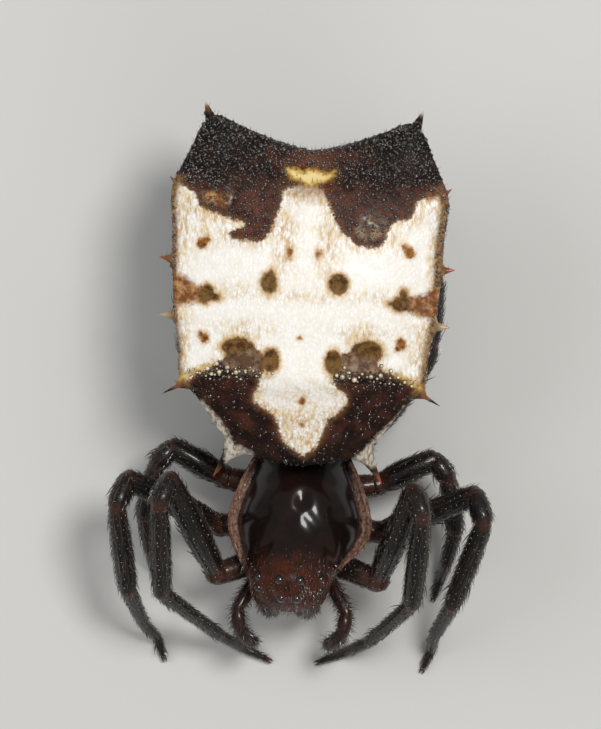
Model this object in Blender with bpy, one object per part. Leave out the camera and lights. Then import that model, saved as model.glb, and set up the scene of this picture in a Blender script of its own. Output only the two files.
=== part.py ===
# A still, life-size female Micrathena orb weaver, standing on its eight feet with the
# front legs folded beside the head. Every size below is in millimetres. The animal faces
# -Y, its tail is at +Y, its left side at +X, and the floor is at z = 0.

import math

import bmesh
import bpy
from mathutils import Matrix, Vector
from mathutils.bvhtree import BVHTree

for old_object in list(bpy.data.objects):
    bpy.data.objects.remove(old_object, do_unlink=True)

# Scale and clearances
MILLIMETRE = 0.001
JOINT_GAP = 0.2
GAP_STEPS = 120
EYE_GAP = 0.02
BOX_MIDDLE_Y = 0.975

# Heights under this are laid flat on the floor
FLOOR_MARGIN = 0.012

# Abdomen, each station: y, half width, crown height, shield edge height, belly height,
# and how much further back the edge lies than the middle
ABDOMEN_STATIONS = (
    (-0.18, 0.80, 2.62, 2.50, 2.28, 0.12),
    (0.02, 1.08, 2.76, 2.56, 2.12, 0.08),
    (0.40, 1.36, 2.96, 2.68, 1.90, 0.03),
    (0.85, 1.66, 3.20, 2.86, 1.70, 0.00),
    (1.18, 1.92, 3.40, 3.04, 1.48, -0.06),
    (1.60, 1.96, 3.44, 3.10, 1.20, 0.00),
    (2.20, 2.05, 3.52, 3.15, 0.96, 0.00),
    (2.75, 2.10, 3.55, 3.18, 0.88, 0.00),
    (3.40, 2.13, 3.53, 3.18, 1.00, 0.00),
    (4.00, 2.17, 3.47, 3.15, 1.38, 0.06),
    (4.34, 2.01, 3.30, 3.02, 1.74, 0.16),
    (4.62, 1.79, 3.08, 2.88, 2.10, 0.34),
    (4.77, 1.62, 2.95, 2.80, 2.46, 0.50),
)
ABDOMEN_RINGS = 25
ABDOMEN_TOP_POINTS = 13
ABDOMEN_UNDER_POINTS = 11
SHIELD_CROWN_POWER = 2.6
FLANK_POWER = 0.92
SWEEP_POWER = 1.4

# Abdomen spines, one of each pair: root, tip and root radius
REAR_SPINE = ((1.44, 4.74, 2.78), (1.71, 5.47, 3.02), 0.31)
SHIELD_CORNER_SPINE = ((1.88, 3.98, 3.10), (2.24, 4.28, 3.18), 0.30)
SIDE_SPINES = (
    ((1.94, 2.96, 3.10), (2.34, 2.99, 3.16), 0.25),
    ((1.90, 2.12, 3.06), (2.30, 2.10, 3.12), 0.25),
)
FRONT_CORNER_SPINE = ((1.68, 1.12, 2.98), (2.18, 0.86, 2.98), 0.22)
FRONT_SPINE = ((0.98, 0.06, 2.45), (1.34, -0.42, 2.42), 0.25)
SPINE_SIDES = 7

# Prosoma, each station: y, half width, crown height, rim height, sternum half width and
# sternum height
PROSOMA_STATIONS = (
    (0.36, 0.34, 1.50, 1.36, 0.22, 1.08),
    (0.18, 0.62, 1.68, 1.42, 0.32, 0.95),
    (-0.20, 0.86, 2.00, 1.50, 0.38, 0.86),
    (-0.65, 1.05, 2.27, 1.54, 0.44, 0.82),
    (-1.10, 1.16, 2.36, 1.56, 0.46, 0.80),
    (-1.45, 1.07, 2.34, 1.56, 0.46, 0.80),
    (-1.75, 0.85, 2.28, 1.58, 0.44, 0.80),
    (-2.02, 0.69, 2.20, 1.60, 0.40, 0.86),
    (-2.16, 0.64, 2.15, 1.58, 0.38, 1.20),
    (-2.36, 0.56, 2.00, 1.58, 0.34, 1.27),
    (-2.52, 0.40, 1.82, 1.60, 0.24, 1.36),
)
PROSOMA_RINGS = 18
PROSOMA_TOP_POINTS = 11
RIM_DEPTH = 0.16
RIM_UNDERSIDE_SHARE = 0.94
STERNUM_ROUNDING = 0.04
STERNUM_FLAT_SHARE = 0.8

# Eyes, one of each pair: place seen from above, radius, and the direction from the surface
# towards a viewer who looks straight at it
EYE_PAIRS = {
    "eye_middle_rear": ((0.15, -2.00), 0.080, (0.0, 0.0, 1.0)),
    "eye_middle_front": ((0.14, -2.34), 0.080, (0.0, -0.5, 1.0)),
    "eye_side_rear": ((0.48, -1.96), 0.065, (0.3, 0.0, 1.0)),
    "eye_side_front": ((0.45, -2.18), 0.065, (0.3, -0.4, 1.0)),
}
EYE_SUNK = 0.35
EYE_SEARCH_HEIGHT = 2.1

# Legs, one of each pair on the animal's left: the places of the joints from the sternum
# outwards, ending in the ankle and the tip that lie on the floor. Each coxa begins where
# it clears the prosoma.
LEG_JOINTS = {
    1: ((0.40, -1.66, 1.00), (1.27, -1.98, 1.42), (1.93, -0.48, 2.86), (2.06, -0.88, 3.04),
        (1.98, -2.30, 2.04), (1.20, -3.00, 0.62), (0.84, -3.20, 0.26), (0.46, -3.37, 0.14)),
    2: ((0.40, -1.13, 0.98), (1.28, -1.22, 1.02), (2.76, -0.52, 2.10), (2.90, -0.96, 2.28),
        (2.58, -2.32, 1.48), (2.34, -2.86, 0.60), (2.22, -3.12, 0.26), (2.12, -3.38, 0.14)),
    3: ((0.40, -0.60, 0.98), (1.20, -0.46, 0.96), (2.10, 0.00, 1.14), (2.34, -0.30, 1.14),
        (2.50, -1.15, 0.88), (2.38, -1.72, 0.50), (2.32, -1.96, 0.26), (2.24, -2.22, 0.14)),
    4: ((0.30, -0.16, 1.00), (0.98, 0.28, 0.98), (1.80, 1.36, 1.38), (1.95, 1.78, 1.38),
        (2.00, 2.84, 0.92), (1.88, 3.60, 0.46), (1.82, 3.86, 0.26), (1.74, 4.14, 0.14)),
}
# How much further out the folded part of each leg lies on the animal's right, and how
# much further in on its left
LEG_LEAN = {1: 0.15, 2: 0.10, 3: 0.0, 4: 0.0}
LEAN_JOINTS = {1: (2, 3, 4), 2: (4, 5), 3: (), 4: ()}
LEG_RADIUS = 0.26
COXA_RADIUS = 0.22
COXA_SWELLING = 0.02
FEMUR_RADIUS = 0.27
ANKLE_RADIUS = 0.24
TOE_RADIUS = 0.13
TOE_POINT_SHARE = 0.4
SEGMENT_END_SHARE = 0.62
SEGMENT_END_REACH = 0.5
SEGMENT_THICKEST = 0.45

# Mouthparts, one of each pair
CHELICERA_PATH = ((0.30, -2.34, 1.45), (0.31, -2.43, 1.02), (0.31, -2.48, 0.86),
                  (0.29, -2.52, 0.68), (0.27, -2.53, 0.52))
CHELICERA_RADII = (0.19, 0.21, 0.22, 0.20, 0.15)
FANG = ((0.25, -2.52, 0.58), (0.12, -2.42, 0.32), 0.10)
PALP_PATH = ((0.68, -2.08, 1.04), (0.89, -2.54, 1.28), (0.84, -2.82, 1.30),
             (0.70, -3.04, 1.06), (0.56, -3.06, 0.84))
PALP_RADII = (0.15, 0.17, 0.18, 0.17, 0.11)

# Waist and spinnerets
PEDICEL_PATH = ((0.0, 0.30, 1.26), (0.0, 0.68, 1.36), (0.0, 0.92, 1.60))
PEDICEL_RADIUS = 0.19
SPINNERET_PATH = ((0.0, 2.72, 1.00), (0.0, 2.78, 0.54), (0.0, 2.82, 0.38))
SPINNERET_RADII = (0.34, 0.30, 0.18)

# Corners round every tube
TUBE_SIDES = 8

SIDES = {"left": 1.0, "right": -1.0}

# Colour, roughness
FINISHES = {
    "shield": ((0.80, 0.76, 0.66, 1.0), 0.45),
    "carapace": ((0.035, 0.018, 0.012, 1.0), 0.15),
    "limb": ((0.02, 0.017, 0.016, 1.0), 0.30),
    "eye": ((0.01, 0.01, 0.012, 1.0), 0.05),
    "mouthpart": ((0.07, 0.025, 0.015, 1.0), 0.30),
    "silk_gland": ((0.03, 0.022, 0.018, 1.0), 0.45),
}


def finish_material(name):
    """The one material of a finish, made the first time it is asked for."""
    found = bpy.data.materials.get(name)
    if found:
        return found
    colour, roughness = FINISHES[name]
    made = bpy.data.materials.new(name)
    made.use_nodes = True
    shader = made.node_tree.nodes["Principled BSDF"]
    shader.inputs["Base Color"].default_value = colour
    shader.inputs["Roughness"].default_value = roughness
    shader.inputs["Metallic"].default_value = 0.0
    made.diffuse_color = colour
    return made


def object_from(bm, name):
    """A linked object from a closed mesh, its faces triangles that point outwards."""
    bmesh.ops.triangulate(bm, faces=bm.faces[:])
    bmesh.ops.recalc_face_normals(bm, faces=bm.faces[:])
    mesh = bpy.data.meshes.new(name)
    bm.to_mesh(mesh)
    bm.free()
    made = bpy.data.objects.new(name, mesh)
    bpy.context.scene.collection.objects.link(made)
    return made


def close_with_fan(bm, row):
    """Closes a ring with triangles round a point in its middle."""
    centre = bm.verts.new(sum((vert.co for vert in row), Vector()) / len(row))
    for k, vert in enumerate(row):
        bm.faces.new((vert, row[(k + 1) % len(row)], centre))


def close_across(bm, row):
    """Closes an abdomen ring with a strip between its upper and its lower edge."""
    upper = row[:ABDOMEN_TOP_POINTS]
    lower = [upper[0], *reversed(row[ABDOMEN_TOP_POINTS:]), upper[-1]]
    for k in range(ABDOMEN_TOP_POINTS - 1):
        corners = (upper[k], upper[k + 1], lower[k + 1], lower[k])
        bm.faces.new(tuple(dict.fromkeys(corners)))


def body_from_rings(rings, name, close_end=close_with_fan):
    """A closed body through rings of equal length."""
    bm = bmesh.new()
    rows = [[bm.verts.new(point) for point in ring] for ring in rings]
    count = len(rows[0])
    for row, following in zip(rows, rows[1:]):
        for k in range(count):
            after = (k + 1) % count
            bm.faces.new((row[k], row[after], following[after], following[k]))
    for row in (rows[0], rows[-1]):
        close_end(bm, row)
    return object_from(bm, name)


def smooth_stations(stations, count):
    """Rows read evenly along a smooth curve through the stations."""
    last = len(stations) - 1
    rows = []
    for step in range(count):
        place = step * last / (count - 1)
        start = min(int(place), last - 1)
        t = place - start
        before = stations[max(start - 1, 0)]
        here = stations[start]
        ahead = stations[start + 1]
        beyond = stations[min(start + 2, last)]
        row = []
        for a, b, c, d in zip(before, here, ahead, beyond):
            bend = 2 * a - 5 * b + 4 * c - d
            twist = 3 * b - a - 3 * c + d
            row.append(b + 0.5 * t * ((c - a) + t * (bend + t * twist)))
        rows.append(row)
    return rows


def ring_around(point, direction, radius):
    """The corners of a tube at one point, with one of its flat sides facing down."""
    along = direction.normalized()
    across = along.cross(Vector((0.0, 0.0, 1.0)))
    if across.length < 0.05:
        across = Vector((1.0, 0.0, 0.0))
    across.normalize()
    rise = across.cross(along)
    ring = []
    for side in range(TUBE_SIDES):
        angle = (side + 0.5) * 2 * math.pi / TUBE_SIDES
        ring.append(point + radius * (math.cos(angle) * across + math.sin(angle) * rise))
    return ring


def tube(path, radii, name):
    """A closed tube along a path."""
    points = [Vector(point) for point in path]
    rings = []
    for k, point in enumerate(points):
        direction = points[min(k + 1, len(points) - 1)] - points[max(k - 1, 0)]
        rings.append(ring_around(point, direction, radii[k]))
    return body_from_rings(rings, name)


def surface_of(made):
    """A search tree of an object's faces, in the millimetres that it is built in."""
    return BVHTree.FromPolygons(
        [vert.co.copy() for vert in made.data.vertices],
        [tuple(face.vertices) for face in made.data.polygons],
    )


def seated(path, radius, surface):
    """A path whose first point is slid inwards until its ring is the gap off a surface."""
    points = [Vector(point) for point in path]
    inner = points[0]
    outer = points[1]
    root = outer
    for step in range(GAP_STEPS):
        point = outer.lerp(inner, step / GAP_STEPS)
        ring = ring_around(point, outer - inner, radius)
        if min(surface.find_nearest(corner)[3] for corner in ring) < JOINT_GAP:
            break
        root = point
    return [root, *points[1:]]


def spine(root, tip, radius, name):
    """A closed cone from a round root to a point."""
    start = Vector(root)
    end = Vector(tip)
    along = (end - start).normalized()
    across = along.orthogonal().normalized()
    rise = across.cross(along)
    bm = bmesh.new()
    ring = []
    for side in range(SPINE_SIDES):
        angle = side * 2 * math.pi / SPINE_SIDES
        ring.append(bm.verts.new(start + radius * (math.cos(angle) * across + math.sin(angle) * rise)))
    point = bm.verts.new(end)
    bm.faces.new(ring)
    for side in range(SPINE_SIDES):
        bm.faces.new((ring[side], ring[(side + 1) % SPINE_SIDES], point))
    return object_from(bm, name)


def combine(base, others, operation, name):
    """One Boolean of a body with a collection of others, which are then removed."""
    group = bpy.data.collections.new(name + "_pieces")
    bpy.context.scene.collection.children.link(group)
    for piece in others:
        group.objects.link(piece)
    boolean = base.modifiers.new("combine", "BOOLEAN")
    boolean.operation = operation
    boolean.operand_type = "COLLECTION"
    boolean.collection = group
    boolean.solver = "EXACT"
    bpy.context.view_layer.update()
    evaluated = base.evaluated_get(bpy.context.evaluated_depsgraph_get())
    mesh = bpy.data.meshes.new_from_object(evaluated)
    base.modifiers.remove(boolean)
    base.data = mesh
    for piece in others:
        bpy.data.objects.remove(piece, do_unlink=True)
    bpy.data.collections.remove(group)
    keep_largest_surface(base)
    base.name = name
    return base


def keep_largest_surface(made):
    """Keeps the largest closed surface of an object's mesh and drops the rest."""
    bm = bmesh.new()
    bm.from_mesh(made.data)
    unseen = set(bm.faces)
    surfaces = []
    while unseen:
        surface = []
        waiting = [unseen.pop()]
        while waiting:
            face = waiting.pop()
            surface.append(face)
            for edge in face.edges:
                for neighbour in edge.link_faces:
                    if neighbour in unseen:
                        unseen.remove(neighbour)
                        waiting.append(neighbour)
        surfaces.append(surface)
    surfaces.sort(key=len)
    for surface in surfaces[:-1]:
        bmesh.ops.delete(bm, geom=surface, context="FACES")
    bmesh.ops.triangulate(bm, faces=bm.faces[:])
    bm.to_mesh(made.data)
    bm.free()


def mirrored(point, side):
    """A place on the animal's left, or its mirror image on the right."""
    return (point[0] * side, point[1], point[2])


def finish_node(made, name, finish, origin):
    """Names a node, gives it its finish and its own origin, and turns it into metres."""
    made.name = name
    made.data.name = name
    made.data.materials.clear()
    made.data.materials.append(finish_material(finish))
    start = Vector((origin[0], origin[1], 0.0))
    shift = Matrix.Translation(-start)
    made.data.transform(Matrix.Scale(MILLIMETRE, 4) @ shift)
    made.location = MILLIMETRE * (start - Vector((0.0, BOX_MIDDLE_Y, 0.0)))
    made.parent = animal
    return made


def abdomen_ring(row):
    """One cross-section: a low crown over the shield and a deep, narrowing belly."""
    y, half, crown, edge, belly, sweep = row
    ring = []
    for k in range(ABDOMEN_TOP_POINTS):
        share = math.sin(math.pi * (k / (ABDOMEN_TOP_POINTS - 1) - 0.5))
        height = edge + (crown - edge) * (1 - abs(share) ** SHIELD_CROWN_POWER)
        ring.append(Vector((half * share, y + sweep * abs(share) ** SWEEP_POWER, height)))
    for k in range(1, ABDOMEN_UNDER_POINTS + 1):
        turn = math.pi * k / (ABDOMEN_UNDER_POINTS + 1)
        share = math.copysign(abs(math.cos(turn)) ** FLANK_POWER, math.cos(turn))
        height = edge - (edge - belly) * math.sin(turn)
        ring.append(Vector((half * share, y + sweep * abs(share) ** SWEEP_POWER, height)))
    return ring


def build_abdomen():
    """The abdomen with all its spines."""
    rings = [abdomen_ring(row) for row in smooth_stations(ABDOMEN_STATIONS, ABDOMEN_RINGS)]
    body = body_from_rings(rings, "abdomen", close_across)
    spines = (REAR_SPINE, SHIELD_CORNER_SPINE, *SIDE_SPINES, FRONT_CORNER_SPINE, FRONT_SPINE)
    pieces = []
    for side in SIDES.values():
        for root, tip, radius in spines:
            pieces.append(spine(mirrored(root, side), mirrored(tip, side), radius, "spine"))
    combine(body, pieces, "UNION", "abdomen")
    surface = surface_of(body)
    finish_node(body, "abdomen", "shield", (0.0, 0.0))
    return surface


def prosoma_ring(row):
    """One cross-section: the carapace dome, its thin rim, and the sternum below."""
    y, half, crown, rim, sternum, base = row
    ring = []
    for k in range(PROSOMA_TOP_POINTS):
        turn = math.pi * (k / (PROSOMA_TOP_POINTS - 1) - 0.5)
        height = rim + (crown - rim) * math.cos(turn)
        ring.append(Vector((half * math.sin(turn), y, height)))
    under = rim - RIM_DEPTH
    right_half = (
        (RIM_UNDERSIDE_SHARE * half, rim - 0.5 * RIM_DEPTH),
        (sternum + STERNUM_ROUNDING, under),
        (sternum, 0.5 * (under + base)),
        (STERNUM_FLAT_SHARE * sternum, base + STERNUM_ROUNDING),
    )
    for x, z in right_half:
        ring.append(Vector((x, y, z)))
    ring.append(Vector((0.0, y, base)))
    for x, z in reversed(right_half):
        ring.append(Vector((-x, y, z)))
    return ring


def build_prosoma_and_eyes():
    """The carapace and sternum in one body, and the eight eyes in their sockets."""
    rings = [prosoma_ring(row) for row in smooth_stations(PROSOMA_STATIONS, PROSOMA_RINGS)]
    body = body_from_rings(rings, "prosoma")
    surface = surface_of(body)
    sockets = []
    eyes = []
    for name, (place, radius, look) in EYE_PAIRS.items():
        for side_name, side in SIDES.items():
            direction = Vector((look[0] * side, look[1], look[2])).normalized()
            middle = Vector((place[0] * side, place[1], EYE_SEARCH_HEIGHT))
            hit, normal, _, _ = surface.ray_cast(middle + direction, -direction)
            centre = hit - EYE_SUNK * radius * normal
            sockets.append(ball(centre, radius + EYE_GAP, "socket"))
            eyes.append((ball(centre, radius, name), name + "_" + side_name, centre))
    combine(body, sockets, "DIFFERENCE", "prosoma")
    finish_node(body, "prosoma", "carapace", (0.0, -1.1))
    for eye, name, centre in eyes:
        finish_node(eye, name, "eye", centre)
    return surface


def ball(centre, radius, name):
    """A small faceted ball."""
    bm = bmesh.new()
    bmesh.ops.create_icosphere(bm, subdivisions=2, radius=radius)
    bmesh.ops.translate(bm, verts=bm.verts[:], vec=centre)
    return object_from(bm, name)


def limb_segment(start, end, radii, name):
    """One segment of a leg: a tube with rounded ends, thickest near its middle."""
    first = Vector(start)
    last = Vector(end)
    along = (last - first).normalized()
    path = (
        first - SEGMENT_END_REACH * radii[0] * along,
        first,
        first.lerp(last, SEGMENT_THICKEST),
        last,
        last + SEGMENT_END_REACH * radii[2] * along,
    )
    spread = (SEGMENT_END_SHARE * radii[0], *radii, SEGMENT_END_SHARE * radii[2])
    return tube(path, spread, name)


def build_leg(number, side_name, prosoma):
    """One leg: coxa, trochanter, femur, patella, tibia, metatarsus and tarsus."""
    side = SIDES[side_name]
    joints = []
    for k, joint in enumerate(LEG_JOINTS[number]):
        shift = LEG_LEAN[number] if k in LEAN_JOINTS[number] else 0.0
        joints.append(Vector(((joint[0] - shift * side) * side, joint[1], joint[2])))
    coxa, trochanter, knee, patella, shin, heel, ankle, toe = seated(joints, COXA_RADIUS, prosoma)
    base = tube((coxa, coxa.lerp(trochanter, 0.5), trochanter),
                (COXA_RADIUS, COXA_RADIUS + COXA_SWELLING, COXA_RADIUS), "coxa")
    pieces = [
        limb_segment(trochanter, knee, (LEG_RADIUS, FEMUR_RADIUS, LEG_RADIUS), "femur"),
        limb_segment(knee, patella, (LEG_RADIUS, LEG_RADIUS, LEG_RADIUS), "patella"),
        limb_segment(patella, shin, (LEG_RADIUS, LEG_RADIUS, LEG_RADIUS), "tibia"),
        limb_segment(shin, heel, (LEG_RADIUS, LEG_RADIUS, ANKLE_RADIUS), "metatarsus"),
        foot(heel, ankle, toe),
    ]
    name = "leg_{}_{}".format(number, side_name)
    combine(base, pieces, "UNION", name)
    settle_on_floor(base)
    return finish_node(base, name, "limb", coxa)


def foot(heel, ankle, toe):
    """The tarsus, whose last stretch lies flat on the floor."""
    flat = math.cos(math.pi / TUBE_SIDES)
    resting_ankle = Vector((ankle.x, ankle.y, ANKLE_RADIUS * flat))
    resting_toe = Vector((toe.x, toe.y, TOE_RADIUS * flat))
    along = (resting_toe - resting_ankle).normalized()
    point = resting_toe + TOE_RADIUS * along
    return tube(
        (heel, resting_ankle, resting_toe, point),
        (ANKLE_RADIUS, ANKLE_RADIUS, TOE_RADIUS, TOE_POINT_SHARE * TOE_RADIUS),
        "tarsus",
    )


def settle_on_floor(made):
    """Lays whatever of a foot comes within a hair of the floor flat on it."""
    for vert in made.data.vertices:
        if vert.co.z < FLOOR_MARGIN:
            vert.co.z = 0.0


def build_mouthparts(side_name, prosoma):
    """A chelicera with its fang, and a palp."""
    side = SIDES[side_name]
    path = [mirrored(point, side) for point in CHELICERA_PATH]
    path = seated(path, CHELICERA_RADII[0], prosoma)
    chelicera = tube(path, CHELICERA_RADII, "chelicera")
    root, tip, radius = FANG
    fang = spine(mirrored(root, side), mirrored(tip, side), radius, "fang")
    combine(chelicera, [fang], "UNION", "chelicera_" + side_name)
    finish_node(chelicera, "chelicera_" + side_name, "mouthpart", path[0])
    path = [mirrored(point, side) for point in PALP_PATH]
    path = seated(path, PALP_RADII[0], prosoma)
    palp = tube(path, PALP_RADII, "palp")
    finish_node(palp, "palp_" + side_name, "mouthpart", path[0])


def build_waist_and_spinnerets(prosoma, abdomen):
    """The narrow waist, and the short cone of spinnerets under the belly."""
    path = seated(PEDICEL_PATH, PEDICEL_RADIUS, prosoma)
    path = seated(path[::-1], PEDICEL_RADIUS, abdomen)
    pedicel = tube(path, (PEDICEL_RADIUS,) * len(path), "pedicel")
    finish_node(pedicel, "pedicel", "limb", path[0])
    path = seated(SPINNERET_PATH, SPINNERET_RADII[0], abdomen)
    spinnerets = tube(path, SPINNERET_RADII, "spinnerets")
    finish_node(spinnerets, "spinnerets", "silk_gland", path[0])


animal = bpy.data.objects.new("animal", None)
bpy.context.scene.collection.objects.link(animal)
abdomen_surface = build_abdomen()
prosoma_surface = build_prosoma_and_eyes()
build_waist_and_spinnerets(prosoma_surface, abdomen_surface)
for which_side in SIDES:
    build_mouthparts(which_side, prosoma_surface)
    for which_leg in LEG_JOINTS:
        build_leg(which_leg, which_side, prosoma_surface)
bpy.context.view_layer.update()
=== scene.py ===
import math

import bpy
import numpy as np
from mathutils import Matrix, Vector
from mathutils.bvhtree import BVHTree
from mathutils.kdtree import KDTree


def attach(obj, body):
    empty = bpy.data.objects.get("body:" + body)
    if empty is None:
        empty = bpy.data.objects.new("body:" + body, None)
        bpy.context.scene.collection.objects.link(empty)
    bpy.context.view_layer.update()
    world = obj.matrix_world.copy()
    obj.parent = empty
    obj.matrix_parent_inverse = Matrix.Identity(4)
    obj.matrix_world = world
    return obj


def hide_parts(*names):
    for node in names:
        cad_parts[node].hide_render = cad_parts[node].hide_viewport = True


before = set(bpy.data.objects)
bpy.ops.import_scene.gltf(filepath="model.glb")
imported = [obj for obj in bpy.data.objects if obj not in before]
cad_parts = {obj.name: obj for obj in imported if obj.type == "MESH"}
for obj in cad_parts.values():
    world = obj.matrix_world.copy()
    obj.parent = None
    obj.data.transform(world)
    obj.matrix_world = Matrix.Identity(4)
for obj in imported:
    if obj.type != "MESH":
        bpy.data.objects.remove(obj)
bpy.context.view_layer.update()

# Everything below is drawn in millimetres, the head towards -y and the left side towards +x.
# Places on the body were read from a picture seen from straight above.
# metres in a millimetre, and the place along y that becomes the origin
scale = {"metre": 0.001, "middleY": 0.975}
sides = {"left": 1.0, "right": -1.0}
finishes = ("shield", "carapace", "limb", "mouthpart")
rng = np.random.default_rng(11)
# limbs are this much as wide as they are high
limbFlat = 0.93


# Shape tools

def stationCurve(stations, places):
    # rows read along a smooth curve through the stations
    table = np.array(stations, float)
    last = len(table) - 1
    start = np.clip(np.floor(places).astype(int), 0, last - 1)
    t = (places - start)[:, None]
    a, b = table[np.maximum(start - 1, 0)], table[start]
    c, d = table[start + 1], table[np.minimum(start + 2, last)]
    return b + 0.5 * t * ((c - a) + t * (2 * a - 5 * b + 4 * c - d + t * (3 * b - a - 3 * c + d)))


def evenRows(stations, count):
    # rows that lie evenly along y
    fine = np.linspace(0, len(stations) - 1, 1500)
    y = stationCurve(stations, fine)[:, 0]
    order = np.argsort(y)
    wanted = np.linspace(y[0], y[-1], count)
    return stationCurve(stations, np.interp(wanted, y[order], fine[order]))


def smoothStep(low, high, value):
    t = np.clip((value - low) / (high - low), 0, 1)
    return t * t * (3 - 2 * t)


def endStrip(upper, lower, upperShare, lowerShare):
    # triangles between the upper and the lower edge of a wide ring, both from side to side
    faces = []
    i = j = 0
    while i < len(upper) - 1 or j < len(lower) - 1:
        if j == len(lower) - 1 or (i < len(upper) - 1 and upperShare[i + 1] <= lowerShare[j + 1]):
            faces.append([upper[i + 1], upper[i], lower[j]])
            i += 1
        else:
            faces.append([lower[j], lower[j + 1], upper[i]])
            j += 1
    return faces


def wideGrid(points, topCount):
    # a closed body from wide rings, whose ends are closed from the upper to the lower edge
    rings, around = points.shape[:2]
    verts, faces = closedGrid(points)
    faces = faces[:(rings - 1) * around]
    for ring in (0, rings - 1):
        upper = np.arange(topCount)
        lower = np.arange(topCount, around)[::-1]
        x = points[ring, :, 0]
        strip = endStrip(upper, lower, x[upper], x[lower])
        turn = 1 if ring == 0 else -1
        faces += [[int(k) + ring * around for k in face[::turn]] for face in strip]
    return verts[:rings * around], faces


def closedGrid(points):
    # a closed body from rings of points (rings, around, 3), with a fan over each end
    rings, around = points.shape[:2]
    verts = np.concatenate([points.reshape(-1, 3), points[:1].mean(1), points[-1:].mean(1)])
    i, k = np.meshgrid(np.arange(rings - 1), np.arange(around), indexing="ij")
    after = (k + 1) % around
    quads = np.stack([i * around + k, i * around + after,
                      (i + 1) * around + after, (i + 1) * around + k], -1).reshape(-1, 4)
    k = np.arange(around)
    after = (k + 1) % around
    first = np.stack([after, k, np.full(around, rings * around)], -1)
    final = (rings - 1) * around
    second = np.stack([final + k, final + after, np.full(around, rings * around + 1)], -1)
    return verts, quads.tolist() + first.tolist() + second.tolist()


def outwardNormals(points, topCount):
    # normals of a wide body, turned so that those on top point up
    along = np.gradient(points, axis=0)
    across = np.roll(points, -1, 1) - np.roll(points, 1, 1)
    normal = np.cross(across, along)
    normal = normal / np.maximum(np.linalg.norm(normal, axis=2, keepdims=True), 1e-9)
    return -normal if normal[len(points) // 2, topCount // 2, 2] < 0 else normal


def roundEnd(x, z, near, reach, half, top, base):
    # draws a wide body in towards its middle over the last bit before an end
    t = np.clip(near / reach, 0, 1)
    pull = reach * (1 - np.sqrt(1 - (1 - t) ** 2))
    middle = 0.5 * (top + base)
    share = np.minimum(pull / np.maximum(0.5 * (top - base), 0.05), 0.8)
    return x * (1 - pull / half), middle + (z - middle) * (1 - share)


def signedVolume(verts, faces):
    total = 0.0
    for size in (3, 4):
        picked = np.array([face for face in faces if len(face) == size])
        if len(picked):
            for k in range(1, size - 1):
                a, b, c = verts[picked[:, 0]], verts[picked[:, k]], verts[picked[:, k + 1]]
                total += float(np.einsum("ij,ij->i", a, np.cross(b, c)).sum())
    return total


def linked(name, data):
    made = bpy.data.objects.new(name, data)
    bpy.context.scene.collection.objects.link(made)
    return made


def placesOf(mesh):
    co = np.empty(len(mesh.vertices) * 3)
    mesh.vertices.foreach_get("co", co)
    return co.reshape(-1, 3)


def addValues(mesh, name, values):
    layer = mesh.attributes.new(name, "FLOAT", "POINT")
    layer.data.foreach_set("value", values.astype(np.float32))


def makeObject(name, verts, faces, finish=None):
    if signedVolume(np.asarray(verts), faces) < 0:
        faces = [face[::-1] for face in faces]
    mesh = bpy.data.meshes.new(name)
    mesh.from_pydata([tuple(v) for v in verts], [], faces)
    if finish:
        for other in finishes:
            mesh.materials.append(materials[other])
        index = np.full(len(mesh.polygons), finishes.index(finish), np.int32)
        mesh.polygons.foreach_set("material_index", index)
    return linked(name, mesh)


def setPiece(made, nodes=(), sharp=40):
    # turns a finished piece into metres and hands it to the frame
    co = placesOf(made.data) * scale["metre"]
    co[:, 1] -= scale["middleY"] * scale["metre"]
    made.data.vertices.foreach_set("co", co.ravel())
    made.data.shade_smooth()
    made.data.set_sharp_from_angle(angle=math.radians(sharp))
    made.data.update()
    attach(made, "root")
    if nodes:
        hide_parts(*nodes)


def unit(vectors):
    vectors = np.asarray(vectors, float)
    return vectors / np.maximum(np.linalg.norm(vectors, axis=-1, keepdims=True), 1e-9)


def pathFrames(path):
    # directions along a path, and two directions across it that don't twist
    path = np.asarray(path, float)
    along = unit(np.gradient(path, axis=0))
    side = np.cross(along[0], (0.0, 0.0, 1.0))
    if np.linalg.norm(side) < 0.05:
        side = np.array((1.0, 0.0, 0.0))
    across = [unit(side)]
    for direction in along[1:]:
        turned = across[-1] - np.dot(across[-1], direction) * direction
        across.append(unit(turned))
    across = np.array(across)
    return along, across, np.cross(across, along)


def curvedPath(points, count):
    # points spread evenly along a smooth curve through the given ones
    fine = stationCurve(points, np.linspace(0, len(points) - 1, 40 * len(points)))
    run = np.concatenate([[0], np.cumsum(np.linalg.norm(np.diff(fine, axis=0), axis=1))])
    wanted = np.linspace(0, run[-1], count)
    return np.stack([np.interp(wanted, run, fine[:, axis]) for axis in range(3)], 1)


def ringRound(across, rise, around, flat=1.0):
    # points of a circle round each place of a path, as directions from it
    angle = np.arange(around) * 2 * math.pi / around
    return (flat * np.cos(angle)[None, :, None] * across[:, None]
            + np.sin(angle)[None, :, None] * rise[:, None])


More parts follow.
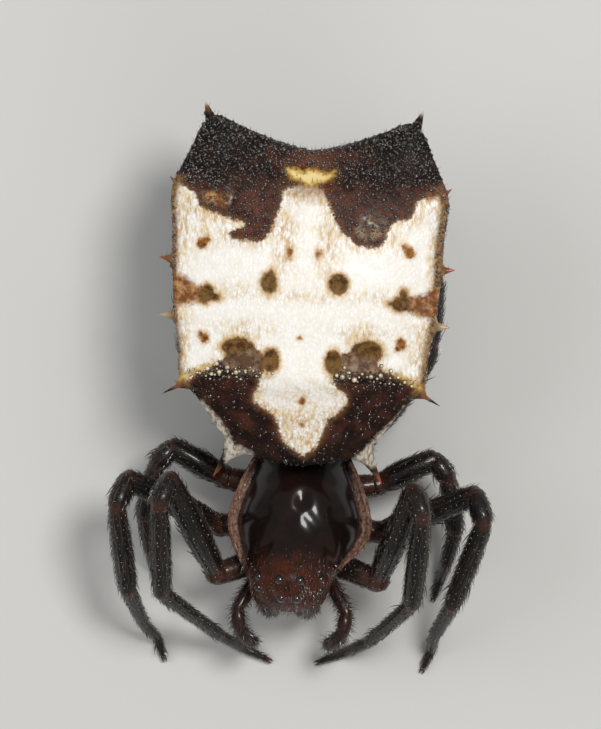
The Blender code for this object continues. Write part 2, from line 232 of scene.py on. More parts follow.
def limbTube(points, shape, around=22, rings=26):
    # a closed, round-ended segment; shape gives (place from 0 to 1, radius) along it
    path = curvedPath(points, rings)
    s = np.linspace(0, 1, rings)
    places, radii = np.array(shape).T
    wide = np.interp(s, places, radii)
    wide = np.convolve(np.pad(wide, 2, mode="edge"), np.ones(5) / 5, "valid")
    ends = []
    for radius in (wide[0], wide[-1]):
        ends.append([(math.sin(a) * radius * 0.55, math.cos(a) * radius)
                     for a in np.linspace(math.pi / 2 * 0.93, math.pi / 8, 4)])
    along, across, rise = pathFrames(path)
    before = [path[0] - along[0] * reach for reach, _ in ends[0]]
    beyond = [path[-1] + along[-1] * reach for reach, _ in ends[1]][::-1]
    path = np.concatenate([before, path, beyond])
    wide = np.concatenate([[r for _, r in ends[0]], wide, [r for _, r in ends[1]][::-1]])
    across = np.concatenate([[across[0]] * 4, across, [across[-1]] * 4])
    rise = np.concatenate([[rise[0]] * 4, rise, [rise[-1]] * 4])
    ring = ringRound(across, rise, around, limbFlat)
    return closedGrid(path[:, None] + wide[:, None, None] * ring)


def ellipsoid(centre, radii, finish, detail=(14, 20)):
    rings, around = detail
    a = np.linspace(0.04, math.pi - 0.04, rings)[:, None]
    b = np.arange(around)[None, :] * 2 * math.pi / around
    x, y, z = np.sin(a) * np.cos(b), np.cos(a) * np.ones_like(b), np.sin(a) * np.sin(b)
    points = np.stack([x * radii[0], y * radii[1], z * radii[2]], -1)
    return makeObject("ball", *closedGrid(points + np.array(centre)), finish)


def mirrored(point, side, aside=0.0):
    return np.array((point[0] * side + aside, point[1], point[2]))


# Outlines of the markings, and how far a place lies inside one

def smoothOutline(points, steps=5):
    count = len(points)
    looped = [points[k % count] for k in range(-1, count + 2)]
    places = 1 + np.arange(count * steps) / steps
    return stationCurve(looped, places)


def insideBy(x, y, outline):
    # signed distance in millimetres, positive inside
    best = np.full(x.shape, 1e9)
    inside = np.zeros(x.shape, bool)
    for (ax, ay), (bx, by) in zip(outline, np.roll(outline, -1, 0)):
        dx, dy = bx - ax, by - ay
        t = np.clip(((x - ax) * dx + (y - ay) * dy) / max(dx * dx + dy * dy, 1e-12), 0, 1)
        best = np.minimum(best, (x - ax - t * dx) ** 2 + (y - ay - t * dy) ** 2)
        crossing = (ay > y) != (by > y)
        reach = ax + (y - ay) * dx / (dy if abs(dy) > 1e-12 else 1e-12)
        inside ^= crossing & (x < reach)
    return np.where(inside, 1, -1) * np.sqrt(best)


def insideOval(x, y, centre, radii, turn=0.0):
    c, s = math.cos(turn), math.sin(turn)
    u = ((x - centre[0]) * c + (y - centre[1]) * s) / radii[0]
    v = (-(x - centre[0]) * s + (y - centre[1]) * c) / radii[1]
    return (1 - np.hypot(u, v)) * min(radii)


# Materials

def connect(tree, made, **inputs):
    # links sockets and sets plain values, by the input's name or by i and its number
    for name, value in inputs.items():
        key = int(name[1:]) if name[1:].isdigit() else name.replace("_", " ")
        if isinstance(value, bpy.types.NodeSocket):
            tree.links.new(value, made.inputs[key])
        else:
            made.inputs[key].default_value = value
    return made


def addNode(tree, kind, settings=None, **inputs):
    made = tree.nodes.new(kind)
    for name, value in (settings or {}).items():
        setattr(made, name, value)
    return connect(tree, made, **inputs)


def maths(tree, operation, a, b=0.0, clamp=False):
    made = addNode(tree, "ShaderNodeMath", {"operation": operation, "use_clamp": clamp}, i0=a, i1=b)
    return made.outputs[0]


def mixed(tree, share, a, b):
    return addNode(tree, "ShaderNodeMix", {"data_type": "RGBA"}, i0=share, i6=a, i7=b).outputs[2]


def ranged(tree, value, low, high, first=0.0, last=1.0, kind="LINEAR"):
    made = addNode(tree, "ShaderNodeMapRange", {"interpolation_type": kind},
                   i0=value, i1=low, i2=high, i3=first, i4=last)
    return made.outputs[0]


def softStep(tree, value, low, high, first=0.0, last=1.0):
    return ranged(tree, value, low, high, first, last, "SMOOTHSTEP")


def edgeOf(tree, distance, width, wobble):
    # a soft step across an outline, from a signed distance
    return softStep(tree, maths(tree, "ADD", distance, wobble), -width, width)


def shareOf(tree, base, times, value):
    return maths(tree, "ADD", base, maths(tree, "MULTIPLY", value, times), clamp=True)


def attributeOf(tree, name):
    return addNode(tree, "ShaderNodeAttribute", {"attribute_name": name}).outputs["Fac"]


def vectorMaths(tree, operation, vector, **inputs):
    return addNode(tree, "ShaderNodeVectorMath", {"operation": operation}, i0=vector, **inputs).outputs[0]


def millimetres(tree):
    place = addNode(tree, "ShaderNodeTexCoord").outputs["Object"]
    return vectorMaths(tree, "SCALE", place, Scale=1 / scale["metre"])


def noiseOf(tree, place, size, detail=3.0, rough=0.55):
    made = addNode(tree, "ShaderNodeTexNoise", Vector=place, Scale=1 / size, Detail=detail,
                   Roughness=rough)
    return made.outputs["Fac"]


def newGroup(name, inputs, outputs):
    # an input's value says its kind, and an output is a colour where it is named so
    group = bpy.data.node_groups.new(name, "ShaderNodeTree")
    for label, value in inputs.items():
        kind = "NodeSocketColor" if isinstance(value, tuple) else "NodeSocketFloat"
        socket = group.interface.new_socket(label, in_out="INPUT", socket_type=kind)
        socket.default_value = value
    for label in outputs:
        kind = "NodeSocketColor" if label == "Color" else "NodeSocketFloat"
        group.interface.new_socket(label, in_out="OUTPUT", socket_type=kind)
    return group, group.nodes.new("NodeGroupInput"), group.nodes.new("NodeGroupOutput")


def makeCuticle():
    # fine pimples and grain that every part of the skin has, as a height and a mask
    group, given, out = newGroup("cuticle", {"Grain": 0.05, "Pimples": 0.5, "Roughening": 0.5},
                                 ("Height", "Mask"))
    place = millimetres(group)
    size = maths(group, "DIVIDE", 1.0, given.outputs["Grain"])
    cells = addNode(group, "ShaderNodeTexVoronoi", {"feature": "SMOOTH_F1"}, Vector=place, Scale=size,
                    Smoothness=0.35)
    dome = maths(group, "SUBTRACT", 1.0, cells.outputs["Distance"], clamp=True)
    dome = maths(group, "POWER", dome, 1.6)
    fine = addNode(group, "ShaderNodeTexNoise", Vector=place, Scale=size, Detail=4.0, Roughness=0.6)
    rough = maths(group, "MULTIPLY", fine.outputs["Fac"], given.outputs["Roughening"])
    height = maths(group, "ADD", maths(group, "MULTIPLY", dome, given.outputs["Pimples"]), rough)
    connect(group, out, Height=height, Mask=dome)
    return group


def makeMottle():
    # two shades drifting into each other in soft patches
    group, given, out = newGroup(
        "mottle", {"Light": (1, 1, 1, 1), "Dark": (0, 0, 0, 1), "Size": 0.4, "Amount": 0.5}, ("Color",))
    place = millimetres(group)
    size = maths(group, "DIVIDE", 1.0, given.outputs["Size"])
    wide = addNode(group, "ShaderNodeTexNoise", Vector=place, Scale=size, Detail=5.0, Roughness=0.62)
    share = softStep(group, wide.outputs["Fac"], 0.40, 0.66)
    share = maths(group, "MULTIPLY", share, given.outputs["Amount"], clamp=True)
    connect(group, out, Color=mixed(group, share, given.outputs["Light"], given.outputs["Dark"]))
    return group


def stretched(group, place, given):
    # places drawn together along the body, so that what is laid on them is longer than wide
    longer = addNode(group, "ShaderNodeCombineXYZ", X=1.0, Y=given.outputs["Stretch"], Z=1.0)
    return vectorMaths(group, "MULTIPLY", place, i1=longer.outputs[0])


def makeFlecks():
    # small pale cells packed side by side, longer than wide, with seams between them; the shield paints
    # their raised middles white, partly as painted highlight
    group, given, out = newGroup("flecksAndHighlights", {"Size": 0.06, "Stretch": 0.5, "Seam": 0.15}, ("Seam", "Core"))
    place = millimetres(group)
    bend = addNode(group, "ShaderNodeTexNoise", Vector=place, Scale=7.0, Detail=2.0)
    shift = vectorMaths(group, "SCALE", bend.outputs["Color"], Scale=0.10)
    pulled = stretched(group, vectorMaths(group, "ADD", place, i1=shift), given)
    size = maths(group, "DIVIDE", 1.0, given.outputs["Size"])
    cells = addNode(group, "ShaderNodeTexVoronoi", {"feature": "DISTANCE_TO_EDGE"}, Vector=pulled,
                    Scale=size)
    seam = softStep(group, cells.outputs["Distance"], 0.0, given.outputs["Seam"], 1.0, 0.0)
    middles = addNode(group, "ShaderNodeTexVoronoi", Vector=pulled, Scale=size)
    core = softStep(group, middles.outputs["Distance"], 0.12, 0.55, 1.0, 0.0)
    connect(group, out, Seam=seam, Core=core)
    return group


def makeStrokes():
    # soft strokes that run along the body
    group, given, out = newGroup("strokes", {"Width": 0.05, "Stretch": 0.3}, ("Mask",))
    pulled = stretched(group, millimetres(group), given)
    size = maths(group, "DIVIDE", 1.0, given.outputs["Width"])
    grain = addNode(group, "ShaderNodeTexNoise", Vector=pulled, Scale=size, Detail=3.0, Roughness=0.6)
    connect(group, out, Mask=softStep(group, grain.outputs["Fac"], 0.44, 0.64))
    return group


def useGroup(tree, name, **inputs):
    return addNode(tree, "ShaderNodeGroup", {"node_tree": groups[name]}, **inputs)


def mottle(tree, light, dark, size, amount):
    return useGroup(tree, "mottle", Light=light, Dark=dark, Size=size, Amount=amount).outputs["Color"]


def newMaterial(name, **values):
    made = bpy.data.materials.new(name)
    made.use_nodes = True
    tree = made.node_tree
    return made, tree, connect(tree, tree.nodes["Principled BSDF"], **values)


def addBump(tree, shader, height, strength, depth):
    # depth is the real height of the relief in millimetres
    bump = addNode(tree, "ShaderNodeBump", Strength=strength, Height=height,
                   Distance=depth * scale["metre"])
    connect(tree, shader, Normal=bump.outputs["Normal"])


shieldFinish = {
    # white goes on the raised cell middles of the cream, partly as painted highlight
    "white": (0.96, 0.96, 0.95, 1), "cream": (0.92, 0.905, 0.86, 1), "creamWarmAndShaded": (0.79, 0.63, 0.36, 1),
    "tan": (0.58, 0.35, 0.13, 1), "seam": (0.52, 0.46, 0.38, 1), "border": (0.190, 0.085, 0.028, 1),
    "black": (0.0070, 0.0050, 0.0046, 1), "maroon": (0.135, 0.042, 0.023, 1),
    "spot": (0.175, 0.093, 0.026, 1), "spotDeep": (0.060, 0.025, 0.007, 1),
    "halo": (0.56, 0.33, 0.09, 1), "brown": (0.33, 0.125, 0.020, 1), "brownDeep": (0.085, 0.022, 0.006, 1),
    "smear": (0.170, 0.054, 0.014, 1), "smearLight": (0.50, 0.28, 0.11, 1),
    "ash": (0.100, 0.052, 0.029, 1), "ashLight": (0.33, 0.230, 0.155, 1),
    "ochre": (0.33, 0.21, 0.095, 1), "ochreDeep": (0.10, 0.044, 0.018, 1),
    "yellow": (0.56, 0.36, 0.08, 1), "yellowDeep": (0.17, 0.085, 0.018, 1), "gold": (0.88, 0.69, 0.31, 1),
    "russet": (0.25, 0.078, 0.026, 1), "russetDeep": (0.060, 0.018, 0.009, 1),
    "paleSlope": (0.60, 0.57, 0.49, 1), "paleSlopeDark": (0.20, 0.13, 0.09, 1),
    "tanTip": (0.50, 0.36, 0.20, 1), "rust": (0.23, 0.080, 0.028, 1),
    # glass is the pale translucent tip of the rear spines, partly a painted glint
    "ember": (0.48, 0.055, 0.012, 1), "glassAndGlint": (0.62, 0.56, 0.46, 1),
}
# laid over the rest in this order, by values that paintAbdomen gives
spineTints = ("tanTip", "rust", "ember", "glassAndGlint")


def makeShieldMaterial():
    look = shieldFinish
    made, tree, shader = newMaterial("shieldCuticle", Coat_Roughness=0.16)

    def mottled(light, dark, size, amount):
        return mottle(tree, look[light], look[dark], size, amount)

    def masked(name, width, times=1.0):
        return edgeOf(tree, attributeOf(tree, name), width, maths(tree, "MULTIPLY", wander, times))

    place = millimetres(tree)
    wander = noiseOf(tree, place, 0.075, 5.0, 0.65)
    wander = maths(tree, "MULTIPLY", maths(tree, "SUBTRACT", wander, 0.5), 0.13)
    # warmth warms and darkens the cream, and on the front tongue it is partly painted shade
    paleBy, warmthAndShade = attributeOf(tree, "paleBy"), attributeOf(tree, "warmthAndShade")
    # cream, with tan strokes, dull seams, and white flecks on the raised cell middles that are partly the
    # cream's own flecking and partly painted highlight
    cells = useGroup(tree, "flecksAndHighlights", Size=0.056, Stretch=0.5, Seam=0.20)
    strokes = useGroup(tree, "strokes", Width=0.050, Stretch=0.30)
    pale = mottled("cream", "creamWarmAndShaded", 0.22, shareOf(tree, 0.12, 1.0, warmthAndShade))
    pale = mixed(tree, maths(tree, "MULTIPLY", strokes.outputs["Mask"], shareOf(tree, 0.06, 0.95, warmthAndShade)),
                 pale, look["tan"])
    flecksAndHighlights = maths(tree, "MULTIPLY", cells.outputs["Core"], shareOf(tree, 0.60, -0.34, warmthAndShade))
    pale = mixed(tree, flecksAndHighlights, pale, look["white"])
    pale = mixed(tree, maths(tree, "MULTIPLY", cells.outputs["Seam"], shareOf(tree, 0.13, 0.35, warmthAndShade)),
                 pale, look["seam"])
    spotBy, brownBy = attributeOf(tree, "spotBy"), attributeOf(tree, "brownBy")
    for markBy, reach, share in ((spotBy, 0.042, 0.80), (brownBy, 0.030, 0.55)):
        halo = edgeOf(tree, maths(tree, "ADD", markBy, reach), 0.045, wander)
        pale = mixed(tree, maths(tree, "MULTIPLY", halo, share), pale, look["halo"])
    # black, drifting to maroon, with greyish patches and a brown edge towards the cream
    maroon = attributeOf(tree, "maroon")
    dark = mottled("black", "maroon", 0.26, shareOf(tree, 0.15, 1.0, maroon))
    dark = mixed(tree, maths(tree, "MULTIPLY", maroon, 0.50), dark, mottled("maroon", "black", 0.09, 0.9))
    dark = mixed(tree, masked("ashBy", 0.06), dark, mottled("ash", "ashLight", 0.15, 0.85))
    border = edgeOf(tree, maths(tree, "ADD", paleBy, 0.055), 0.07, wander)
    dark = mixed(tree, maths(tree, "MULTIPLY", border, 0.75), dark, look["border"])
    frayed = maths(tree, "SUBTRACT", noiseOf(tree, place, 0.035, 3.0, 0.6), 0.5)
    frayed = maths(tree, "ADD", maths(tree, "MULTIPLY", wander, 1.2), maths(tree, "MULTIPLY", frayed, 0.10))
    paleMask = edgeOf(tree, paleBy, 0.030, frayed)
    colour = mixed(tree, paleMask, dark, pale)
    fringe = maths(tree, "MULTIPLY", masked("fringeBy", 0.07, 1.7), 0.85)
    colour = mixed(tree, fringe, colour, mottled("ochre", "ochreDeep", 0.09, 0.95))
    colour = mixed(tree, masked("smearBy", 0.055, 1.4), colour, mottled("smear", "smearLight", 0.11, 0.85))
    brown = edgeOf(tree, brownBy, 0.030, wander)
    colour = mixed(tree, brown, colour, mottled("brown", "brownDeep", 0.07, 0.9))
    spot = edgeOf(tree, spotBy, 0.026, maths(tree, "MULTIPLY", wander, 0.7))
    colour = mixed(tree, spot, colour, mottled("spot", "spotDeep", 0.09, 1.0))
    streak = masked("streakBy", 0.045, 1.2)
    faded = shareOf(tree, 0.15, 0.75, strokes.outputs["Mask"])
    faded = maths(tree, "ADD", faded, attributeOf(tree, "fading"), clamp=True)
    colour = mixed(tree, streak, colour, mixed(tree, faded, look["paleSlope"], look["paleSlopeDark"]))
    russet = maths(tree, "MULTIPLY", masked("russetBy", 0.26, 3.0), 0.85)
    colour = mixed(tree, russet, colour, mottled("russet", "russetDeep", 0.12, 0.9))
    yellowBy = attributeOf(tree, "yellowBy")
    colour = mixed(tree, edgeOf(tree, yellowBy, 0.045, wander), colour,
                   mottled("yellow", "yellowDeep", 0.07, 0.9))
    gold = edgeOf(tree, maths(tree, "SUBTRACT", yellowBy, 0.055), 0.045, wander)
    colour = mixed(tree, gold, colour, look["gold"])
    horny = 0.0
    for name in spineTints:
        tint = attributeOf(tree, name)
        colour = mixed(tree, tint, colour, look[name])
        horny = maths(tree, "MAXIMUM", horny, tint)
    connect(tree, shader, Base_Color=colour)
    lightness = maths(tree, "MULTIPLY", maths(tree, "MAXIMUM", paleMask, streak),
                      maths(tree, "SUBTRACT", 1.0, maths(tree, "MAXIMUM", spot, brown)))
    for name, dull, bright, horn in (("Roughness", 0.50, 0.46, 0.24), ("Coat Weight", 0.0, 0.14, 0.60),
                                     ("Specular IOR Level", 0.13, 0.42, 0.50)):
        value = ranged(tree, lightness, 0.0, 1.0, dull, bright)
        tree.links.new(ranged(tree, horny, 0.0, 1.0, value, horn), shader.inputs[name])
    grain = useGroup(tree, "cuticle", Grain=0.06, Pimples=0.5, Roughening=0.35)
    relief = maths(tree, "MULTIPLY", cells.outputs["Core"], 0.45)
    relief = maths(tree, "ADD", grain.outputs["Height"], relief)
    addBump(tree, shader, relief, 0.6, 0.012)
    return made


carapaceFinish = {
    "dark": (0.0065, 0.004, 0.0035, 1), "brown": (0.022, 0.008, 0.005, 1),
    "red": (0.068, 0.015, 0.006, 1), "rim": (0.095, 0.042, 0.027, 1), "rimLight": (0.27, 0.150, 0.105, 1),
}


def makeCarapaceMaterial():
    look = carapaceFinish
    made, tree, shader = newMaterial("carapaceCuticle", Coat_Roughness=0.07, Specular_IOR_Level=0.22)
    place = millimetres(tree)
    wander = maths(tree, "MULTIPLY", maths(tree, "SUBTRACT", noiseOf(tree, place, 0.12), 0.5), 0.10)
    browned = maths(tree, "ADD", 0.35, attributeOf(tree, "hollow"), clamp=True)
    shell = mottle(tree, look["dark"], look["brown"], 0.55, browned)
    face = mottle(tree, look["red"], look["brown"], 0.20, 1.0)
    colour = mixed(tree, attributeOf(tree, "face"), shell, face)
    rim = edgeOf(tree, attributeOf(tree, "rimBy"), 0.035, wander)
    colour = mixed(tree, rim, colour, mottle(tree, look["rimLight"], look["rim"], 0.045, 1.0))
    connect(tree, shader, Base_Color=colour)
    dull = maths(tree, "MAXIMUM", rim, maths(tree, "MULTIPLY", attributeOf(tree, "face"), 0.55))
    connect(tree, shader, Roughness=ranged(tree, dull, 0.0, 1.0, 0.22, 0.5),
            Coat_Weight=ranged(tree, dull, 0.0, 1.0, 0.24, 0.04))
    grain = useGroup(tree, "cuticle", Grain=0.05, Pimples=0.5, Roughening=0.5)
    height = maths(tree, "MULTIPLY", grain.outputs["Height"], maths(tree, "ADD", dull, 0.04))
    addBump(tree, shader, height, 0.8, 0.012)
    return made


limbFinish = {"dark": (0.0065, 0.0052, 0.005, 1), "brown": (0.018, 0.010, 0.007, 1),
              "joint": (0.050, 0.017, 0.010, 1)}
mouthFinish = {"dark": (0.030, 0.010, 0.006, 1), "brown": (0.010, 0.0055, 0.0045, 1),
               "joint": (0.05, 0.018, 0.010, 1)}


def makeLimbMaterial(name, look, roughness):
    made, tree, shader = newMaterial(name, Coat_Roughness=0.09, Coat_Weight=0.38, Specular_IOR_Level=0.28)
    joint = attributeOf(tree, "joint")
    shade = mottle(tree, look["dark"], look["brown"], 0.35, 0.75)
    connect(tree, shader, Base_Color=mixed(tree, joint, shade, look["joint"]))
    grain = useGroup(tree, "cuticle", Grain=0.045, Pimples=0.6, Roughening=0.5)
    rough = ranged(tree, grain.outputs["Mask"], 0.0, 1.0, roughness + 0.16, roughness)
    connect(tree, shader, Roughness=rough)
    addBump(tree, shader, grain.outputs["Height"], 0.7, 0.010)
    return made


def makeEyeMaterial():
    made, tree, shader = newMaterial("eyeGlass", Roughness=0.03, Coat_Weight=1.0, Coat_Roughness=0.02,
                                     Specular_IOR_Level=0.8)
    shade = mottle(tree, (0.004, 0.004, 0.006, 1), (0.020, 0.016, 0.024, 1), 0.05, 0.8)
    connect(tree, shader, Base_Color=shade)
    return made


def makeHornMaterial(name, deep, thin, roughness):
    # fangs, claws and bristles: dark, and clearer towards the points
    made, tree, shader = newMaterial(name, Roughness=roughness, Coat_Weight=0.4, Coat_Roughness=0.08,
                                     Specular_IOR_Level=0.6)
    colour = mixed(tree, attributeOf(tree, "tip"), deep, thin)
    connect(tree, shader, Base_Color=mottle(tree, colour, deep, 0.06, 0.5))
    return made


# glossy domes whose top colour is a painted highlight, laid over the deep colour from a share of the height
# up
def makeGranuleMaterial(name, deep, top, roughness, highlightFrom):
    made, tree, shader = newMaterial(name, Roughness=roughness, Coat_Weight=1.0, Coat_Roughness=0.05,
                                     Coat_IOR=1.65, Specular_IOR_Level=0.6)
    colour = mixed(tree, ranged(tree, attributeOf(tree, "tip"), highlightFrom, 1.0), deep, top)
    connect(tree, shader, Base_Color=mottle(tree, colour, deep, 0.12, 0.6))
    return made


groups = {"cuticle": makeCuticle(), "mottle": makeMottle(), "flecksAndHighlights": makeFlecks(),
          "strokes": makeStrokes()}
materials = {
    "shield": makeShieldMaterial(),
    "carapace": makeCarapaceMaterial(),
    "limb": makeLimbMaterial("limbCuticle", limbFinish, 0.24),
    "mouthpart": makeLimbMaterial("mouthCuticle", mouthFinish, 0.26),
    "eye": makeEyeMaterial(),
    "horn": makeHornMaterial("hornTips", (0.016, 0.008, 0.006, 1), (0.16, 0.05, 0.02, 1), 0.18),
    "bristle": makeHornMaterial("bristles", (0.008, 0.006, 0.005, 1), (0.12, 0.095, 0.075, 1), 0.28),
    "down": makeHornMaterial("headHairs", (0.030, 0.014, 0.009, 1), (0.17, 0.10, 0.065, 1), 0.36),
    # the top colours of the granules and beads below are painted highlights
    "granule": makeGranuleMaterial("blackGranulesPaintedGlint", (0.0065, 0.005, 0.0045, 1), (0.060, 0.052, 0.048, 1),
                                   0.10, 0.4),
    "bead": makeGranuleMaterial("amberBeadsPaintedHighlight", (0.075, 0.032, 0.008, 1), (0.95, 0.86, 0.58, 1), 0.06, 0.5),
}
print("materials made")


# Camera first: straight above, turned as in the picture, its frame 11.4 mm high at the shield
view = {"centre": (-0.103, 0.436), "height": 3.0, "frameHigh": 11.39, "lens": 250.0, "sensor": 36.0,
        "roll": math.radians(2.6)}


def makeCamera():
    data = bpy.data.cameras.new("camera")
    data.lens = view["lens"]
    data.sensor_width = view["sensor"]
    distance = view["frameHigh"] * view["lens"] / view["sensor"] * scale["metre"]
    data.clip_start, data.clip_end = 0.002, 5.0
    made = linked("camera", data)
    x, y = view["centre"]
    made.location = (x * scale["metre"], y * scale["metre"], view["height"] * scale["metre"] + distance)
    made.rotation_euler = (0, 0, view["roll"])
    bpy.context.scene.camera = made


studio = {
    # place and width in mm, power in watts, colour, and whether it shows in glossy surfaces
    "lights": {
        "key": ((17, 16, 58), 20, 0.0225, (1.0, 0.98, 0.95), True),
        "leftPanel": ((-40, 6, 34), 44, 0.0090, (0.95, 0.97, 1.0), False),
        "headPanel": ((20, -50, 34), 40, 0.0075, (1.0, 0.96, 0.92), False)},
    # the place that the lights are aimed at, in mm, and half the floor's width in metres
    "aim": (0, 0, 2), "reach": 0.6,
    "sky": (0.89, 0.88, 0.86, 1), "skyStrength": 0.29, "floor": (0.63, 0.63, 0.615, 1),
}


def makeStudio():
    for name, (place, size, power, colour, shown) in studio["lights"].items():
        data = bpy.data.lights.new(name, "AREA")
        data.shape = "DISK"
        data.size = size * scale["metre"]
        data.energy = power
        data.color = colour
        made = linked(name, data)
        made.location = Vector(place) * scale["metre"]
        aim = Vector(studio["aim"]) * scale["metre"] - made.location
        made.rotation_euler = aim.to_track_quat("-Z", "Y").to_euler()
        made.visible_glossy = shown
    world = bpy.data.worlds.new("studioSky")
    world.use_nodes = True
    background = world.node_tree.nodes["Background"]
    background.inputs["Color"].default_value = studio["sky"]
    background.inputs["Strength"].default_value = studio["skyStrength"]
    bpy.context.scene.world = world
    mesh = bpy.data.meshes.new("floor")
    reach = studio["reach"]
    corners = [(x * reach, y * reach, 0) for x, y in ((-1, -1), (1, -1), (1, 1), (-1, 1))]
    mesh.from_pydata(corners, [], [(0, 1, 2, 3)])
    made, _, _ = newMaterial("paleFloor", Roughness=0.8, Specular_IOR_Level=0.2, Base_Color=studio["floor"])
    mesh.materials.append(made)
    linked("floor", mesh)


makeCamera()
makeStudio()
bpy.context.scene.view_settings.view_transform = "Standard"
print("camera, lights and floor set")


# Abdomen

abdomen = {
    # y, half width, crown height, shield edge height, belly height, how far the edge sweeps back
    "stations": (
        (-0.18, 0.80, 2.62, 2.50, 2.28, 0.12), (0.02, 1.08, 2.76, 2.56, 2.12, 0.08),
        (0.40, 1.36, 2.96, 2.68, 1.90, 0.03), (0.85, 1.66, 3.20, 2.86, 1.70, 0.00),
        (1.18, 1.92, 3.40, 3.04, 1.48, -0.06), (1.60, 1.96, 3.44, 3.10, 1.20, 0.00),
        (2.20, 2.05, 3.52, 3.15, 0.96, 0.00), (2.75, 2.10, 3.55, 3.18, 0.88, 0.00),
        (3.40, 2.13, 3.53, 3.18, 1.00, 0.00), (4.00, 2.17, 3.47, 3.15, 1.38, 0.06),
        (4.34, 2.01, 3.30, 3.02, 1.74, 0.16), (4.62, 1.79, 3.08, 2.88, 2.10, 0.34),
        (4.77, 1.62, 2.95, 2.80, 2.46, 0.50)),
    "aside": -0.07, "inset": 0.015, "rings": 238, "topPoints": 230, "underPoints": 120,
    "crownPower": 2.6, "flankPower": 0.92, "sweepPower": 1.4, "endRound": 0.09,
    # root, tip, root radius, how far the foot spreads, and tip radius of one of each pair of spines
    "spines": (
        ((1.46, 4.80, 2.80), (1.71, 5.46, 3.02), 0.17, 0.42, 0.028),
        ((1.92, 4.00, 3.12), (2.20, 4.25, 3.18), 0.10, 0.30, 0.008),
        ((2.00, 2.96, 3.13), (2.31, 2.99, 3.16), 0.10, 0.22, 0.010),
        ((1.95, 2.10, 3.09), (2.27, 2.09, 3.12), 0.10, 0.21, 0.010),
        ((1.76, 1.09, 3.00), (2.17, 0.86, 2.98), 0.050, 0.16, 0.004),
        ((1.06, 0.02, 2.48), (1.33, -0.41, 2.43), 0.095, 0.24, 0.012)),
    "footShare": 0.55, "spineSag": 0.04, "spineRings": 18, "spineSides": 18,
    "lip": {"y": 1.25, "from": 0.36, "to": 1.62, "width": 0.07, "height": 0.05},
    # folds down the sides, a slight unevenness on top, and the height that the plates lie below
    "pleatApart": 0.26, "pleatHeight": 0.016, "waveHeight": 0.006, "plateBelow": 2.2,
    # book lung plates and the plate between them: place, radii and height, and the radii of their tint
    "lungPlate": (0.62, 1.28, 0.34, 0.30, 0.05), "middlePlate": (1.44, 0.20, 0.13, 0.13),
    "plateTints": (0.36, 0.32, 0.22, 0.15),
    # pits with low rims round them: place, radii and depth of one of each pair
    "pits": ((0.54, 2.67, 0.14, 0.17, 0.030), (1.50, 2.45, 0.15, 0.12, 0.025),
             (1.60, 3.24, 0.07, 0.08, 0.018), (1.53, 1.80, 0.07, 0.08, 0.018),
             (0.48, 1.46, 0.11, 0.18, 0.030), (0.98, 1.66, 0.22, 0.16, 0.020)),
}


def abdomenFrame(y):
    # height of the shield's edge, and half width, at a place along the body
    rows = evenRows(abdomen["stations"], 200)
    return [np.interp(y, rows[:, 0], rows[:, k]) for k in (3, 1)]


def abdomenGrid():
    look = abdomen
    rows = evenRows(look["stations"], look["rings"])
    y, half, crown, edge, belly, sweep = (rows[:, k:k + 1] for k in range(6))
    half, crown, belly = half - look["inset"], crown - look["inset"], belly + look["inset"]
    s = np.linspace(-1, 1, look["topPoints"])[None]
    share = 0.5 * (s + np.sin(math.pi / 2 * s))
    top = edge + (crown - edge) * (1 - np.abs(share) ** look["crownPower"])
    turn = math.pi * np.arange(1, look["underPoints"] + 1)[None] / (look["underPoints"] + 1)
    under = np.copysign(np.abs(np.cos(turn)) ** look["flankPower"], np.cos(turn))
    low = edge - (edge - belly) * np.sin(turn)
    x = np.concatenate([half * share, half * under], 1)
    z = np.concatenate([top, low], 1)
    across = np.concatenate([share, under], 1)
    lengthwise = y + sweep * np.abs(across) ** look["sweepPower"]
    for near in (y - y[0], y[-1] - y):
        x, z = roundEnd(x, z, near, look["endRound"], half, crown, belly)
    return np.stack([x, lengthwise, z], -1)


